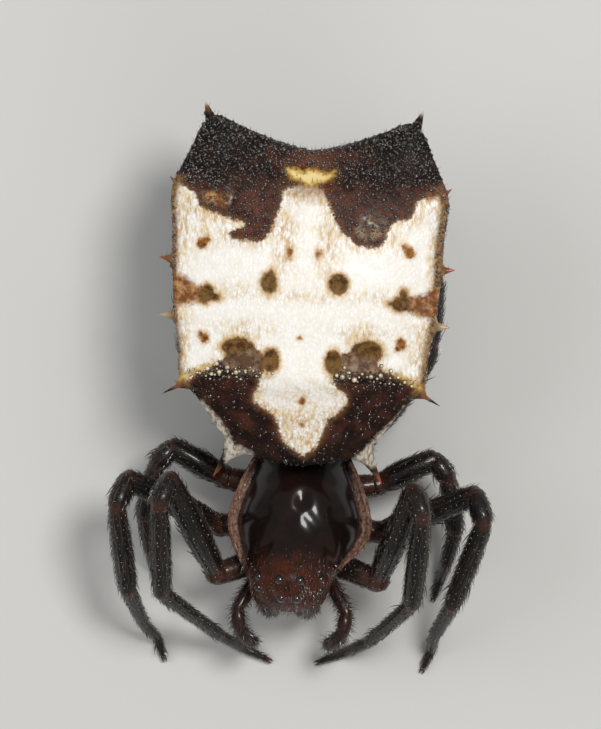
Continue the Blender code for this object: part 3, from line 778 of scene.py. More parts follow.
def shapeAbdomen():
    look = abdomen
    points = abdomenGrid()
    normal = outwardNormals(points, look["topPoints"])
    x, y, z = points[..., 0], points[..., 1], points[..., 2]
    upper = smoothStep(0.2, 0.6, normal[..., 2])
    lip = look["lip"]
    along = smoothStep(lip["from"], lip["from"] + 0.15, np.abs(x)) * (
        1 - smoothStep(lip["to"], lip["to"] + 0.25, np.abs(x)))
    raised = lip["height"] * along * np.exp(-((y - lip["y"]) / lip["width"]) ** 2) * upper
    for px, py, rx, ry, depth in look["pits"]:
        for side in sides.values():
            far = np.hypot((x - side * px) / rx, (y - py) / ry)
            raised -= upper * depth * np.exp(-far ** 2 * 1.6)
            raised += upper * 0.3 * depth * np.exp(-((far - 1.25) / 0.25) ** 2)
    flank = 1 - smoothStep(-0.1, 0.35, normal[..., 2])
    depth = np.clip(abdomenFrame(y)[0] - z, 0, 3)
    pleat = depth * 2 * math.pi / look["pleatApart"] + 1.2 * np.sin(y * 2.1 + np.sign(x))
    pleat = np.sin(pleat + 0.6 * np.sin(5.3 * y))
    raised += flank * look["pleatHeight"] * pleat * smoothStep(0.08, 0.4, depth)
    waves = look["waveHeight"] * np.sin(9.1 * x + 2.0 * np.sin(6.3 * y))
    waves *= np.sin(8.3 * y + 1.7 * np.sin(5.1 * x))
    raised += upper * waves
    px, py, rx, ry, height = look["lungPlate"]
    for side in sides.values():
        far = np.hypot((x - side * px) / rx, (y - py) / ry)
        raised += flank * (z < look["plateBelow"]) * height * (1 - smoothStep(0.75, 1.05, far))
    py, rx, ry, height = look["middlePlate"]
    far = np.hypot(x / rx, (y - py) / ry)
    raised += flank * (z < look["plateBelow"]) * height * (1 - smoothStep(0.35, 1.1, far))
    points = points + raised[..., None] * normal
    # pull the surface out into each spine
    for root, tip, _, spread, _ in look["spines"]:
        for side in sides.values():
            start = mirrored(root, side)
            span = mirrored(tip, side) - start
            length = look["footShare"] * np.linalg.norm(span)
            direction = unit(span)
            rel = points - start
            forth = rel @ direction
            off = np.linalg.norm(rel - forth[..., None] * direction, axis=-1)
            near = np.clip(off / spread, 0, 1)
            share = (1 - near ** 1.1) ** 1.7 * (np.abs(forth) < 0.6)
            lift = np.maximum(length - forth, 0)
            points = points + (lift * share)[..., None] * direction
    points[..., 0] += look["aside"]
    return makeObject("abdomenShape", *wideGrid(points, look["topPoints"]), "shield")


def shapeSpines():
    made = []
    for root, tip, radius, _, blunt in abdomen["spines"]:
        for side in sides.values():
            start, end = (mirrored(p, side, abdomen["aside"]) for p in (root, tip))
            middle = 0.5 * (start + end) - (0, 0, abdomen["spineSag"] * np.linalg.norm(end - start))
            path = curvedPath([start, middle, end], abdomen["spineRings"])
            _, across, rise = pathFrames(path)
            s = np.linspace(0, 1, abdomen["spineRings"])
            wide = radius * (1 - s) ** 1.05 + blunt * np.sqrt(1 - s) + 0.003
            ring = ringRound(across, rise, abdomen["spineSides"])
            cone = closedGrid(path[:, None] + wide[:, None, None] * ring)
            made.append(makeObject("spine", *cone, "shield"))
    return made


# Prosoma: carapace, its brim, and the sternum below

prosoma = {
    # y, half width, crown height, rim height, sternum half width, sternum height
    "stations": (
        (0.36, 0.34, 1.50, 1.36, 0.22, 1.08), (0.18, 0.62, 1.68, 1.42, 0.32, 0.95),
        (-0.20, 0.86, 2.00, 1.50, 0.38, 0.86), (-0.65, 1.05, 2.27, 1.54, 0.44, 0.82),
        (-1.10, 1.16, 2.36, 1.56, 0.46, 0.80), (-1.45, 1.07, 2.34, 1.56, 0.46, 0.80),
        (-1.75, 0.85, 2.28, 1.58, 0.44, 0.80), (-2.02, 0.69, 2.20, 1.60, 0.40, 0.86),
        (-2.16, 0.64, 2.15, 1.58, 0.38, 1.20), (-2.36, 0.56, 2.00, 1.58, 0.34, 1.27),
        (-2.52, 0.40, 1.82, 1.60, 0.24, 1.36)),
    "rings": 150, "topPoints": 140, "underPoints": 70, "rimDepth": 0.14, "inset": 0.012,
    "brim": 0.155, "headAside": -0.12, "domeShare": 0.78, "endRounds": (0.16, 0.10),
    # x, y, radius across, radius along, depth of one of each pair of dimples
    "dimples": ((0.48, -0.46, 0.16, 0.12, 0.016), (0.60, -0.90, 0.16, 0.12, 0.016),
                (0.60, -1.28, 0.15, 0.12, 0.014)),
    "fovea": (0.02, -0.72, 0.125, 0.17, 0.065),
    # hump of the middle eyes and corners of the side eyes: x, y, radius across, radius along
    "hump": (0.0, -2.12, 0.30, 0.24), "corners": (0.50, -2.07, 0.15, 0.20), "eyeRise": 0.05,
    # half width of the pale rim and its place from the edge, at its ends and how much more amid
    "rimWide": (0.030, 0.058), "rimPlace": (0.055, 0.03), "rimEnds": (-1.80, -0.10),
    "groove": ((0.14, -0.98), (0.42, -1.34), (0.66, -1.72)), "grooveDepth": 0.022, "grooveWidth": 0.10,
}


def headAside(y):
    return prosoma["headAside"] * smoothStep(1.25, 2.0, -y)


def segmentDistance(x, y, path):
    best = np.full(x.shape, 1e9)
    for (ax, ay), (bx, by) in zip(path, path[1:]):
        dx, dy = bx - ax, by - ay
        t = np.clip(((x - ax) * dx + (y - ay) * dy) / (dx * dx + dy * dy), 0, 1)
        best = np.minimum(best, np.hypot(x - ax - t * dx, y - ay - t * dy))
    return best


def shapeProsoma():
    look = prosoma
    rows = evenRows(look["stations"], look["rings"])
    y, half, crown, rim, sternum, base = (rows[:, k:k + 1] for k in range(6))
    half, crown = half - look["inset"], crown - look["inset"]
    brim = look["brim"] * smoothStep(-1.85, -1.45, y) * (1 - smoothStep(-0.25, 0.05, y)) + 0.02
    s = np.linspace(-1, 1, look["topPoints"])[None]
    across = np.clip(s / look["domeShare"], -1, 1)
    beyond = np.clip((np.abs(s) - look["domeShare"]) / (1 - look["domeShare"]), 0, 1)
    x = (half - brim) * np.sin(math.pi / 2 * across) + np.sign(s) * brim * beyond
    dome = np.cos(math.pi / 2 * across) ** 1.25
    top = rim + (crown - rim) * dome
    edge = half - np.abs(x)
    top += 0.035 * np.exp(-((edge - 0.05) / 0.035) ** 2) * smoothStep(0.05, 0.15, brim)
    # under the rim, down the side of the sternum and across it
    low = rim - look["rimDepth"]
    zero = np.zeros_like(half)
    flank = [(half, rim - 0.01), (0.95 * half, rim - 0.5 * look["rimDepth"]), (sternum + 0.05, low),
             (sternum + 0.01, 0.5 * (low + base)), (0.82 * sternum, base + 0.05), (0.45 * sternum, base)]
    chain = flank + [(zero, base)] + [(-a, b) for a, b in flank[::-1]]
    table = np.stack([np.concatenate([a, b], 1) for a, b in chain])
    places = np.linspace(0, len(chain) - 1, look["underPoints"] + 2)[1:-1]
    start = np.clip(places.astype(int), 0, len(chain) - 2)
    t = (places - start)[:, None, None]
    t = t * t * (3 - 2 * t)
    under = table[start] * (1 - t) + table[start + 1] * t
    x = np.concatenate([x, under[..., 0].T], 1)
    z = np.concatenate([top, under[..., 1].T], 1)
    # round the face and the narrow rear end
    yy = np.broadcast_to(y, x.shape).copy()
    for near, reach in zip((y - y[-1], y[0] - y), look["endRounds"]):
        x, z = roundEnd(x, z, near, reach, half, crown, base)
    points = np.stack([x, yy, z], -1)
    normal = outwardNormals(points, look["topPoints"])
    upper = np.zeros(x.shape)
    upper[:, :look["topPoints"]] = 1
    upper *= smoothStep(0.15, 0.5, normal[..., 2])
    raised = np.zeros(x.shape)
    fx, fy, rx, ry, depth = look["fovea"]
    far = np.hypot((x - fx) / rx, (yy - fy) / ry)
    raised -= depth * np.exp(-far ** 2)
    for dx, dy, rx, ry, depth in look["dimples"]:
        far = np.hypot((np.abs(x) - dx) / rx, (yy - dy) / ry)
        raised -= depth * np.exp(-far ** 2)
    off = segmentDistance(np.abs(x), yy, look["groove"])
    raised -= look["grooveDepth"] * np.exp(-(off / look["grooveWidth"]) ** 2)
    # the hump that carries the middle eyes, and the corners that carry the side eyes
    for (px, py, rx, ry), inner in ((look["hump"], 0.4), (look["corners"], 0.3)):
        far = np.hypot((np.abs(x) - px) / rx, (yy - py) / ry)
        raised += look["eyeRise"] * (1 - smoothStep(inner, 1.1, far))
    points = points + (raised * upper)[..., None] * normal
    points[..., 0] += headAside(points[..., 1])
    return makeObject("prosomaShape", *closedGrid(points), "carapace")


# Legs

legs = {
    # joints of a left leg: sternum, trochanter, knee, patella end, tibia end, heel, ankle, toe
    "joints": {
        1: ((0.40, -1.66, 1.00), (1.27, -1.98, 1.42), (1.93, -0.48, 2.86), (2.06, -0.88, 3.04),
            (1.98, -2.30, 2.04), (1.20, -3.00, 0.62), (0.84, -3.20, 0.125), (0.46, -3.37, 0.070)),
        2: ((0.40, -1.13, 0.98), (1.28, -1.22, 1.02), (2.76, -0.52, 2.10), (2.90, -0.96, 2.28),
            (2.58, -2.32, 1.48), (2.34, -2.86, 0.60), (2.22, -3.12, 0.125), (2.12, -3.38, 0.070)),
        3: ((0.40, -0.60, 0.98), (1.20, -0.46, 0.96), (2.10, 0.00, 1.14), (2.34, -0.30, 1.14),
            (2.50, -1.15, 0.88), (2.38, -1.72, 0.50), (2.32, -1.96, 0.125), (2.24, -2.22, 0.070)),
        4: ((0.30, -0.16, 1.00), (0.98, 0.28, 0.98), (1.80, 1.36, 1.38), (1.95, 1.78, 1.38),
            (2.00, 2.84, 0.92), (1.88, 3.60, 0.46), (1.82, 3.86, 0.125), (1.74, 4.14, 0.070))},
    # how far the two front pairs lean towards -x, and which of their joints do
    "leans": {1: (0.15, (2, 3, 4)), 2: (0.10, (4, 5))},
    # how far the reddish joints reach, from the trochanter to the heel
    "jointReach": (0.34, 0.17, 0.17, 0.16, 0.12),
    # radius along each segment, as (place, radius)
    "coxa": ((0, 0.19), (0.5, 0.21), (0.85, 0.20), (1, 0.17)),
    "trochanter": ((0, 0.17), (0.5, 0.205), (1, 0.16)),
    "femur": ((0, 0.15), (0.12, 0.19), (0.40, 0.225), (0.75, 0.20), (0.93, 0.19), (1, 0.165)),
    "patella": ((0, 0.15), (0.35, 0.18), (0.8, 0.185), (1, 0.15)),
    "tibia": ((0, 0.13), (0.10, 0.155), (0.45, 0.175), (0.85, 0.165), (0.95, 0.16), (1, 0.13)),
    "metatarsus": ((0, 0.115), (0.08, 0.13), (0.5, 0.115), (0.92, 0.105), (1, 0.09)),
    "tarsus": ((0, 0.085), (0.2, 0.095), (0.6, 0.085), (0.9, 0.06), (1, 0.045)),
}


def legJoints(number, side):
    reach, leaning = legs["leans"].get(number, (0.0, ()))
    made = []
    for k, joint in enumerate(legs["joints"][number]):
        shift = reach if k in leaning else 0.0
        made.append(np.array(((joint[0] - shift * side) * side, joint[1], joint[2])))
    return made


def bowed(start, end, bow):
    # five points of a low arch from start to end
    middle = 0.5 * (start + end) + np.array((0, 0, bow))
    return [start, 0.5 * (start + middle) + (0, 0, 0.25 * bow), middle,
            0.5 * (end + middle) + (0, 0, 0.25 * bow), end]


def legSegments(number, side):
    j = legJoints(number, side)
    back = 0.16 * unit(j[2] - j[1])
    return [
        ("coxa", [j[0], 0.5 * (j[0] + j[1]), j[1]]),
        ("trochanter", [j[1] - 0.10 * unit(j[1] - j[0]), j[1], j[1] + back]),
        ("femur", bowed(j[1] + 0.6 * back, j[2], 0.05)),
        ("patella", bowed(j[2], j[3], 0.03)),
        ("tibia", bowed(j[3], j[4], 0.03)),
        ("metatarsus", bowed(j[4], j[5], 0.0)),
        ("tarsus", [j[5], 0.5 * (j[5] + j[6]), j[6], 0.5 * (j[6] + j[7]), j[7]]),
    ]


def shapeLegs():
    made = []
    for side in sides.values():
        for number in legs["joints"]:
            for name, path in legSegments(number, side):
                made.append(makeObject("segment", *limbTube(path, legs[name]), "limb"))
    return made


# Mouthparts, waist and spinnerets

mouth = {
    # middle lines of a left chelicera, its fang and a palp; a shape gives (place from 0 to 1, radius)
    "chelicera": ((0.25, -2.18, 1.54), (0.29, -2.38, 1.12), (0.30, -2.44, 0.90), (0.28, -2.48, 0.72),
                  (0.27, -2.49, 0.58)),
    "cheliceraShape": ((0, 0.17), (0.3, 0.205), (0.6, 0.21), (0.85, 0.165), (1, 0.11)),
    "fang": ((0.25, -2.51, 0.58), (0.21, -2.52, 0.43), (0.12, -2.43, 0.33)), "fangRadius": 0.055,
    "palp": ((0.56, -1.96, 1.04), (0.87, -2.52, 1.28), (0.83, -2.82, 1.30), (0.69, -3.03, 1.06),
             (0.56, -3.06, 0.84)),
    "palpShapes": (((0, 0.10), (0.5, 0.125), (1, 0.105)), ((0, 0.10), (0.5, 0.125), (1, 0.105)),
                   ((0, 0.10), (0.6, 0.13), (1, 0.11)), ((0, 0.105), (0.4, 0.13), (1, 0.05))),
    "lips": (((0.0, -1.86, 0.86), (0.15, 0.13, 0.09)), ((0.26, -2.02, 0.92), (0.16, 0.20, 0.11))),
}
waist = {"path": ((0.0, 0.20, 1.24), (0.0, 0.68, 1.36), (-0.07, 1.02, 1.72)),
         "shape": ((0, 0.16), (0.3, 0.14), (0.7, 0.15), (1, 0.18))}
silk = {"collar": ((-0.07, 2.74, 1.06), (-0.07, 2.77, 0.86), (-0.07, 2.79, 0.70)),
        "collarShape": ((0, 0.33), (0.5, 0.30), (1, 0.25)),
        # foot and tip of one of each pair of spinnerets, and radius
        "pairs": (((0.11, 2.66, 0.76), (0.09, 2.66, 0.44), 0.105),
                  ((0.12, 2.94, 0.76), (0.09, 2.92, 0.46), 0.095),
                  ((0.05, 2.80, 0.74), (0.04, 2.80, 0.52), 0.055))}


def shapeMouth():
    made = []
    for side in sides.values():
        path = [mirrored(p, side, prosoma["headAside"]) for p in mouth["chelicera"]]
        made.append(makeObject("segment", *limbTube(path, mouth["cheliceraShape"], 26, 30), "mouthpart"))
        palp = [mirrored(p, side, 0.5 * prosoma["headAside"]) for p in mouth["palp"]]
        for start, end, shape in zip(palp, palp[1:], mouth["palpShapes"]):
            tube = limbTube(bowed(start, end, 0.02), shape, 18, 16)
            made.append(makeObject("segment", *tube, "mouthpart"))
    for centre, radii in mouth["lips"]:
        for side in sides.values() if centre[0] else (1.0,):
            place = mirrored(centre, side, 0.8 * prosoma["headAside"])
            made.append(ellipsoid(place, radii, "mouthpart"))
    return made


def shapeWaistAndSilk():
    made = [makeObject("waist", *limbTube(waist["path"], waist["shape"], 24, 24), "limb"),
            makeObject("collar", *limbTube(silk["collar"], silk["collarShape"], 36, 16), "limb")]
    for foot, tip, radius in silk["pairs"]:
        for side in sides.values():
            start, end = (mirrored(p, side, abdomen["aside"]) for p in (foot, tip))
            shape = ((0, radius), (0.5, radius), (0.8, 0.75 * radius), (1, 0.4 * radius))
            tube = limbTube([start, 0.5 * (start + end), end], shape, 18, 14)
            made.append(makeObject("spinneret", *tube, "mouthpart"))
    return made


def fuse(base, others):
    group = bpy.data.collections.new("toFuse")
    bpy.context.scene.collection.children.link(group)
    for piece in others:
        group.objects.link(piece)
    boolean = base.modifiers.new("fuse", "BOOLEAN")
    boolean.operation = "UNION"
    boolean.operand_type = "COLLECTION"
    boolean.collection = group
    boolean.solver = "MANIFOLD"
    bpy.context.view_layer.update()
    evaluated = base.evaluated_get(bpy.context.evaluated_depsgraph_get())
    mesh = bpy.data.meshes.new_from_object(evaluated)
    base.modifiers.clear()
    base.data = mesh
    for piece in others:
        bpy.data.objects.remove(piece, do_unlink=True)
    bpy.data.collections.remove(group)
    return base


# Markings, in millimetres seen from above

marks = {
    # outline of the pale shield
    "pale": ((-2.32, 4.30), (-2.12, 4.15), (-1.98, 4.07), (-1.85, 3.96), (-1.78, 3.80), (-1.62, 3.73),
             (-1.42, 3.67), (-1.25, 3.61), (-1.07, 3.56), (-1.14, 3.49), (-1.29, 3.42), (-1.27, 3.32),
             (-1.10, 3.29), (-0.84, 3.29), (-0.72, 3.36), (-0.62, 3.55), (-0.55, 3.76), (-0.50, 3.95),
             (-0.48, 4.10), (-0.30, 4.18), (-0.10, 4.21), (0.06, 4.17), (0.17, 4.02), (0.26, 3.84),
             (0.36, 3.60), (0.52, 3.43), (0.68, 3.30), (0.86, 3.26), (1.04, 3.28), (1.15, 3.42),
             (1.19, 3.60), (1.30, 3.69), (1.48, 3.73), (1.57, 3.86), (1.62, 4.02), (1.80, 4.10),
             (2.04, 4.20), (2.20, 4.32), (2.24, 3.60), (2.12, 2.60), (2.02, 1.70), (1.93, 1.04),
             (1.76, 1.13), (1.58, 1.22), (1.40, 1.31), (1.22, 1.34), (0.95, 1.22), (0.60, 1.20),
             (0.42, 1.16), (0.50, 1.05), (0.63, 0.96), (0.62, 0.82), (0.50, 0.68), (0.36, 0.55),
             (0.28, 0.34), (0.18, 0.14), (0.02, 0.00), (-0.14, 0.08), (-0.30, 0.20), (-0.38, 0.36),
             (-0.46, 0.58), (-0.62, 0.69), (-0.78, 0.80), (-0.80, 0.94), (-0.73, 1.06), (-0.78, 1.20),
             (-1.05, 1.22), (-1.36, 1.28), (-1.60, 1.25), (-1.80, 1.15), (-2.06, 0.98), (-2.14, 1.80),
             (-2.22, 2.80), (-2.34, 3.70)),
    # dark patches cut into the pale shield at its front
    "frontPatches": (
        ((-1.34, 1.63), (-1.25, 1.74), (-1.05, 1.79), (-0.88, 1.72), (-0.76, 1.60), (-0.66, 1.45),
         (-0.68, 1.28), (-0.80, 1.10), (-1.10, 1.08), (-1.45, 1.16), (-1.50, 1.32), (-1.36, 1.42),
         (-1.28, 1.52)),
        ((0.50, 1.56), (0.62, 1.64), (0.73, 1.76), (0.92, 1.82), (1.08, 1.76), (1.16, 1.62), (1.10, 1.48),
         (1.18, 1.38), (1.34, 1.28), (1.10, 1.08), (0.70, 1.06), (0.44, 1.12), (0.42, 1.30))),
    # dark olive and brown spots: centre, radii, turn
    "spots": (
        ((-0.65, 2.65), (0.125, 0.165), 0.15), ((-0.62, 2.76), (0.06, 0.10), 0.0),
        ((0.43, 2.68), (0.155, 0.165), 0.0),
        ((-1.62, 2.44), (0.12, 0.15), -0.3), ((-1.50, 2.40), (0.10, 0.06), -0.1),
        ((1.42, 2.42), (0.16, 0.12), 0.1), ((1.45, 2.55), (0.07, 0.10), 0.0),
        ((1.30, 2.42), (0.09, 0.05), 0.1),
        ((-0.57, 1.45), (0.140, 0.185), 0.0), ((0.40, 1.47), (0.13, 0.19), 0.0),
        ((-1.12, 1.65), (0.20, 0.12), 0.1), ((0.95, 1.67), (0.20, 0.15), 0.1)),
    # small brown ones
    "brownSpots": (
        ((-1.72, 3.22), (0.080, 0.085), 0.4), ((-1.66, 3.28), (0.060, 0.050), 0.6),
        ((1.51, 3.22), (0.085, 0.085), 0.0), ((1.45, 3.30), (0.050, 0.060), 0.3),
        ((-1.62, 1.76), (0.070, 0.085), 0.3), ((-1.68, 1.82), (0.050, 0.045), 0.0),
        ((1.45, 1.80), (0.070, 0.090), 0.4), ((1.40, 1.72), (0.045, 0.050), 0.0),
        ((-0.35, 3.14), (0.045, 0.075), 0.0), ((0.10, 3.14), (0.050, 0.070), 0.0),
        ((-0.13, 1.82), (0.030, 0.030), 0.0), ((-0.05, 0.84), (0.048, 0.052), 0.0),
        ((-0.04, 0.48), (0.036, 0.036), 0.0)),
    # warm brown smears from the side spots out to the edges, and by the rear corners
    "smears": (
        ((-1.60, 2.52), (-1.78, 2.60), (-1.98, 2.72), (-2.34, 2.74), (-2.34, 2.30), (-2.05, 2.24),
         (-1.84, 2.27), (-1.64, 2.34)),
        ((1.48, 2.54), (1.66, 2.58), (1.82, 2.64), (2.00, 2.84), (2.24, 2.80), (2.22, 2.12), (1.92, 2.20),
         (1.70, 2.22), (1.50, 2.32))),
    # a fainter one by the rear corner at x < 0, and thin pale streaks in the dark parts near the corners
    "faintSmears": (
        ((-1.86, 4.06), (-1.62, 4.14), (-1.40, 4.12), (-1.26, 4.02), (-1.24, 3.82), (-1.38, 3.70),
         (-1.64, 3.74), (-1.82, 3.86)),),
    "faintStreaks": (
        ((-1.31, 4.10), (-1.29, 3.98), (-1.33, 3.86)), ((0.78, 3.74), (0.86, 3.66), (0.97, 3.62))),
    # greyish patches in the dark parts
    "ashes": (
        ((-1.20, 1.50), (-0.80, 1.62), (-0.66, 1.44), (-0.70, 1.26), (-1.05, 1.24), (-1.28, 1.36)),
        ((0.48, 1.56), (0.74, 1.62), (1.10, 1.60), (1.14, 1.36), (0.84, 1.28), (0.48, 1.26)),
        ((0.66, 3.46), (0.72, 3.72), (0.96, 3.84), (1.14, 3.68), (1.12, 3.48), (0.88, 3.38))),
    # pale streaks from the front corners of the shield to the front spines: middle lines
    "streaks": (
        ((-1.62, 0.74), (-1.42, 0.52), (-1.27, 0.28), (-1.16, 0.06), (-1.08, -0.10)),
        ((1.56, 0.80), (1.40, 0.54), (1.20, 0.30), (1.05, 0.12), (1.08, -0.08))),
    # pale patches at the feet of the front spines
    "streakFeet": (
        ((-1.20, 0.06), (-1.02, 0.10), (-0.84, 0.02), (-0.76, -0.08), (-1.00, -0.18), (-1.22, -0.18)),
        ((1.20, 0.10), (1.02, 0.14), (0.88, 0.06), (0.78, -0.04), (1.02, -0.14), (1.24, -0.12))),
    "streakWidth": 0.075,
    # yellow patches, behind the middle of the shield and at its front corners
    "yellows": (
        ((-0.47, 4.46), (-0.34, 4.47), (-0.22, 4.43), (-0.09, 4.47), (0.08, 4.45), (0.20, 4.42),
         (0.31, 4.46), (0.28, 4.33), (0.14, 4.25), (0.00, 4.21), (-0.10, 4.16), (-0.22, 4.23),
         (-0.36, 4.28), (-0.44, 4.36)),
        ((-2.04, 1.12), (-1.80, 1.26), (-1.55, 1.36), (-1.52, 1.30), (-1.76, 1.18), (-2.00, 1.04)),
        ((1.90, 1.10), (1.66, 1.24), (1.40, 1.36), (1.38, 1.29), (1.62, 1.17), (1.86, 1.04))),
    "russet": ((-0.46, 4.36), (-0.34, 4.56), (-0.16, 4.66), (0.06, 4.65), (0.22, 4.54), (0.30, 4.32),
               (0.15, 4.09), (-0.08, 4.06), (-0.29, 4.11)),
    # how wide the brown fringe inside the shield's outline is, where x < 0 and where x > 0
    "margins": (0.070, 0.120),
    # how far down the sides the markings go from the shield's edge
    "spotDepth": 0.3, "smearDepth": 0.34, "streakDepth": 0.62, "russetDepth": 0.5,
    # how wide the warmer edge of the cream is
    "warmEdge": 0.20,
    # warmer areas of the cream, the one on the front tongue partly painted shade where it slopes away:
    # place, radii, strength
    "warmAndShadedAreas": (
        ((-1.86, 3.86), (0.32, 0.32), 0.70), ((-1.62, 3.38), (0.22, 0.26), 0.40),
        ((1.60, 3.98), (0.36, 0.22), 0.50), ((-0.42, 3.40), (0.17, 0.62), 0.66),
        ((0.24, 3.30), (0.19, 0.55), 0.62), ((-0.14, 4.10), (0.32, 0.16), 0.70),
        ((-1.20, 2.50), (0.36, 0.13), 0.50), ((1.02, 2.50), (0.36, 0.13), 0.40),
        ((-0.10, 2.46), (0.60, 0.10), 0.35), ((-2.08, 3.40), (0.16, 0.60), 0.80),
        ((-1.92, 1.85), (0.12, 0.60), 0.25), ((1.74, 1.75), (0.18, 0.60), 0.45),
        # the first area on this line, on the front tongue, is partly painted shade
        ((-0.06, 0.40), (0.44, 0.46), 0.70), ((-0.98, 1.94), (0.42, 0.13), 0.50),
        ((0.84, 1.96), (0.42, 0.13), 0.50), ((1.32, 3.38), (0.20, 0.22), 0.35),
        ((-0.06, 1.00), (0.50, 0.14), 0.12)),
    # colours of the spines: spine, side, colour, how far from the tip it reaches, strength
    "tips": (
        # the glass tints on the rear spines are pale tips that are partly a painted glint
        (0, -1, "rust", 0.24, 0.9), (0, -1, "glassAndGlint", 0.10, 0.9), (0, 1, "glassAndGlint", 0.12, 1.0),
        (1, -1, "rust", 0.20, 0.5), (1, 1, "rust", 0.30, 0.9), (2, -1, "rust", 0.26, 0.9),
        (2, 1, "rust", 0.26, 0.8), (2, 1, "ember", 0.17, 0.75), (3, -1, "tanTip", 0.30, 0.9),
        (3, 1, "tanTip", 0.32, 1.0), (3, 1, "ember", 0.13, 0.45),
        (5, -1, "rust", 0.25, 0.60), (5, -1, "ember", 0.11, 0.45), (5, 1, "rust", 0.28, 0.80),
        (5, 1, "ember", 0.17, 1.0)),
    # rusty corners: place, radius, strength
    "corners": (((-2.20, 4.22), 0.17, 0.5), ((2.04, 4.20), 0.22, 0.9), ((1.80, 4.13), 0.12, 0.7),
                ((-2.02, 1.02), 0.13, 0.8), ((1.88, 1.02), 0.14, 0.9)),
}


def deepest(x, y, outlines):
    return np.max([insideBy(x, y, smoothOutline(outline)) for outline in outlines], axis=0)


def deepestOval(x, y, ovals):
    return np.max([insideOval(x, y, *oval) for oval in ovals], axis=0, initial=-1.0)


def spineTip(k, side):
    return mirrored(abdomen["spines"][k][1], side, abdomen["aside"])


def paintAbdomen(x, y, z):
    edgeZ, half = abdomenFrame(y)
    depth = edgeZ - z
    onTop = 1 - smoothStep(0.02, 0.16, depth)
    margin = half - np.abs(x - abdomen["aside"])
    fringeWide = np.where(x < 0, marks["margins"][0], marks["margins"][1])
    fringeWide = fringeWide * (0.65 + 0.45 * smoothStep(2.5, 3.1, y))
    pale = insideBy(x, y, smoothOutline(marks["pale"]))
    pale = np.minimum(pale, -deepest(x, y, marks["frontPatches"]))
    pale = np.minimum(pale, margin - fringeWide + 0.3 * smoothStep(1.0, 0.6, y))
    pale = np.minimum(pale, (0.06 - depth) * 2)
    spots, brown, ash = (
        np.where(depth > marks["spotDepth"], -1.0, found)
        for found in (deepestOval(x, y, marks["spots"]), deepestOval(x, y, marks["brownSpots"]),
                      deepest(x, y, marks["ashes"])))
    smear = np.maximum(deepest(x, y, marks["smears"]) - 0.01, deepest(x, y, marks["faintSmears"]) - 0.10)
    smear = np.minimum(smear, marks["smearDepth"] - depth)
    streak = deepest(x, y, marks["streakFeet"]) - 0.01
    for line in marks["faintStreaks"]:
        streak = np.maximum(streak, -segmentDistance(x, y, line))
    streakWide = marks["streakWidth"] * (0.25 + 0.75 * smoothStep(0.85, 0.30, y))
    for line in marks["streaks"]:
        streak = np.maximum(streak, streakWide - segmentDistance(x, y, line))
    streak = np.minimum(streak, marks["streakDepth"] - depth)
    # a broken pale line runs on along the sides
    off = depth - marks["streakDepth"] - 0.10 * np.sin(3.1 * y + np.sign(x)) - 0.03 * np.sin(13.0 * y)
    line = 0.030 - np.abs(off)
    line = line + 0.04 * np.sin(7.0 * y) + 0.015 * np.sin(23.0 * y) - 0.03
    streak = np.maximum(streak, np.where((depth > 0.2) & (y > 0.5) & (y < 4.0), line, -1.0))
    yellow = np.minimum(deepest(x, y, marks["yellows"]), np.where(y < 3.0, 0.12, 0.6) - depth)
    russet = np.where(depth < marks["russetDepth"], insideBy(x, y, smoothOutline(marks["russet"])), -1.0)
    # orange-brown fringe round the shield's margin and at its corners
    fringe = 0.5 * fringeWide + 0.02 - np.abs(margin - 0.5 * fringeWide)
    fringe = np.minimum(fringe, 0.9 * (np.where(x < 0, 0.10, 0.17) - depth))
    fringe = np.minimum(fringe, np.minimum(y - 0.98, 4.26 - y))
    tints = {name: np.zeros(x.shape) for name in spineTints}
    for (px, py), radius, strength in marks["corners"]:
        near = strength * (1 - smoothStep(0.3 * radius, radius, np.hypot(x - px, y - py)))
        near *= 1 - smoothStep(0.0, 0.30, depth)
        tints["rust"] = np.maximum(tints["rust"], near)
    for k, side, name, reach, strength in marks["tips"]:
        tip = spineTip(k, side)
        off = np.sqrt((x - tip[0]) ** 2 + (y - tip[1]) ** 2 + (z - tip[2]) ** 2)
        near = strength * (1 - smoothStep(0.2 * reach, reach, off))
        tints[name] = np.maximum(tints[name], near)
    # warm drift of the cream towards its own edges, along the middle stripe and down the tongue, where it
    # is partly painted shade
    warmthAndShade = 0.80 * (1 - smoothStep(0.0, marks["warmEdge"], pale))
    for (px, py), (rx, ry), strength in marks["warmAndShadedAreas"]:
        warmthAndShade += 1.5 * strength * np.exp(-((x - px) / rx) ** 2 - ((y - py) / ry) ** 2)
    maroon = smoothStep(4.5, 3.7, y) * smoothStep(2.0, 3.0, y) * onTop
    behind = 0.5 * np.exp(-((y - 4.65) / 0.16) ** 2) * smoothStep(1.1, 0.5, np.abs(x + 0.05))
    maroon = np.maximum(maroon, behind)
    maroon = np.maximum(maroon, 0.22 * smoothStep(1.4, 1.0, y) * smoothStep(-0.1, 0.5, y))
    fading = 0.65 * smoothStep(0.30, 0.80, y) * smoothStep(0.15, 0.35, depth)
    aside = x - abdomen["aside"]
    lungX, lungY = abdomen["lungPlate"][:2]
    lungWide, lungLong, middleWide, middleLong = abdomen["plateTints"]
    plate = np.hypot((np.abs(aside) - lungX) / lungWide, (y - lungY) / lungLong)
    plate = np.minimum(plate, np.hypot(aside / middleWide, (y - abdomen["middlePlate"][0]) / middleLong))
    plate = (1 - smoothStep(0.6, 1.15, plate)) * (z < abdomen["plateBelow"])
    tints["rust"] = np.maximum(tints["rust"], 0.30 * plate)
    return {"paleBy": pale, "spotBy": spots, "brownBy": brown, "smearBy": smear, "ashBy": ash,
            "streakBy": streak, "fading": fading, "yellowBy": yellow, "russetBy": russet, "plate": plate,
            "fringeBy": fringe, "warmthAndShade": np.clip(warmthAndShade, 0, 1), "maroon": maroon, **tints}


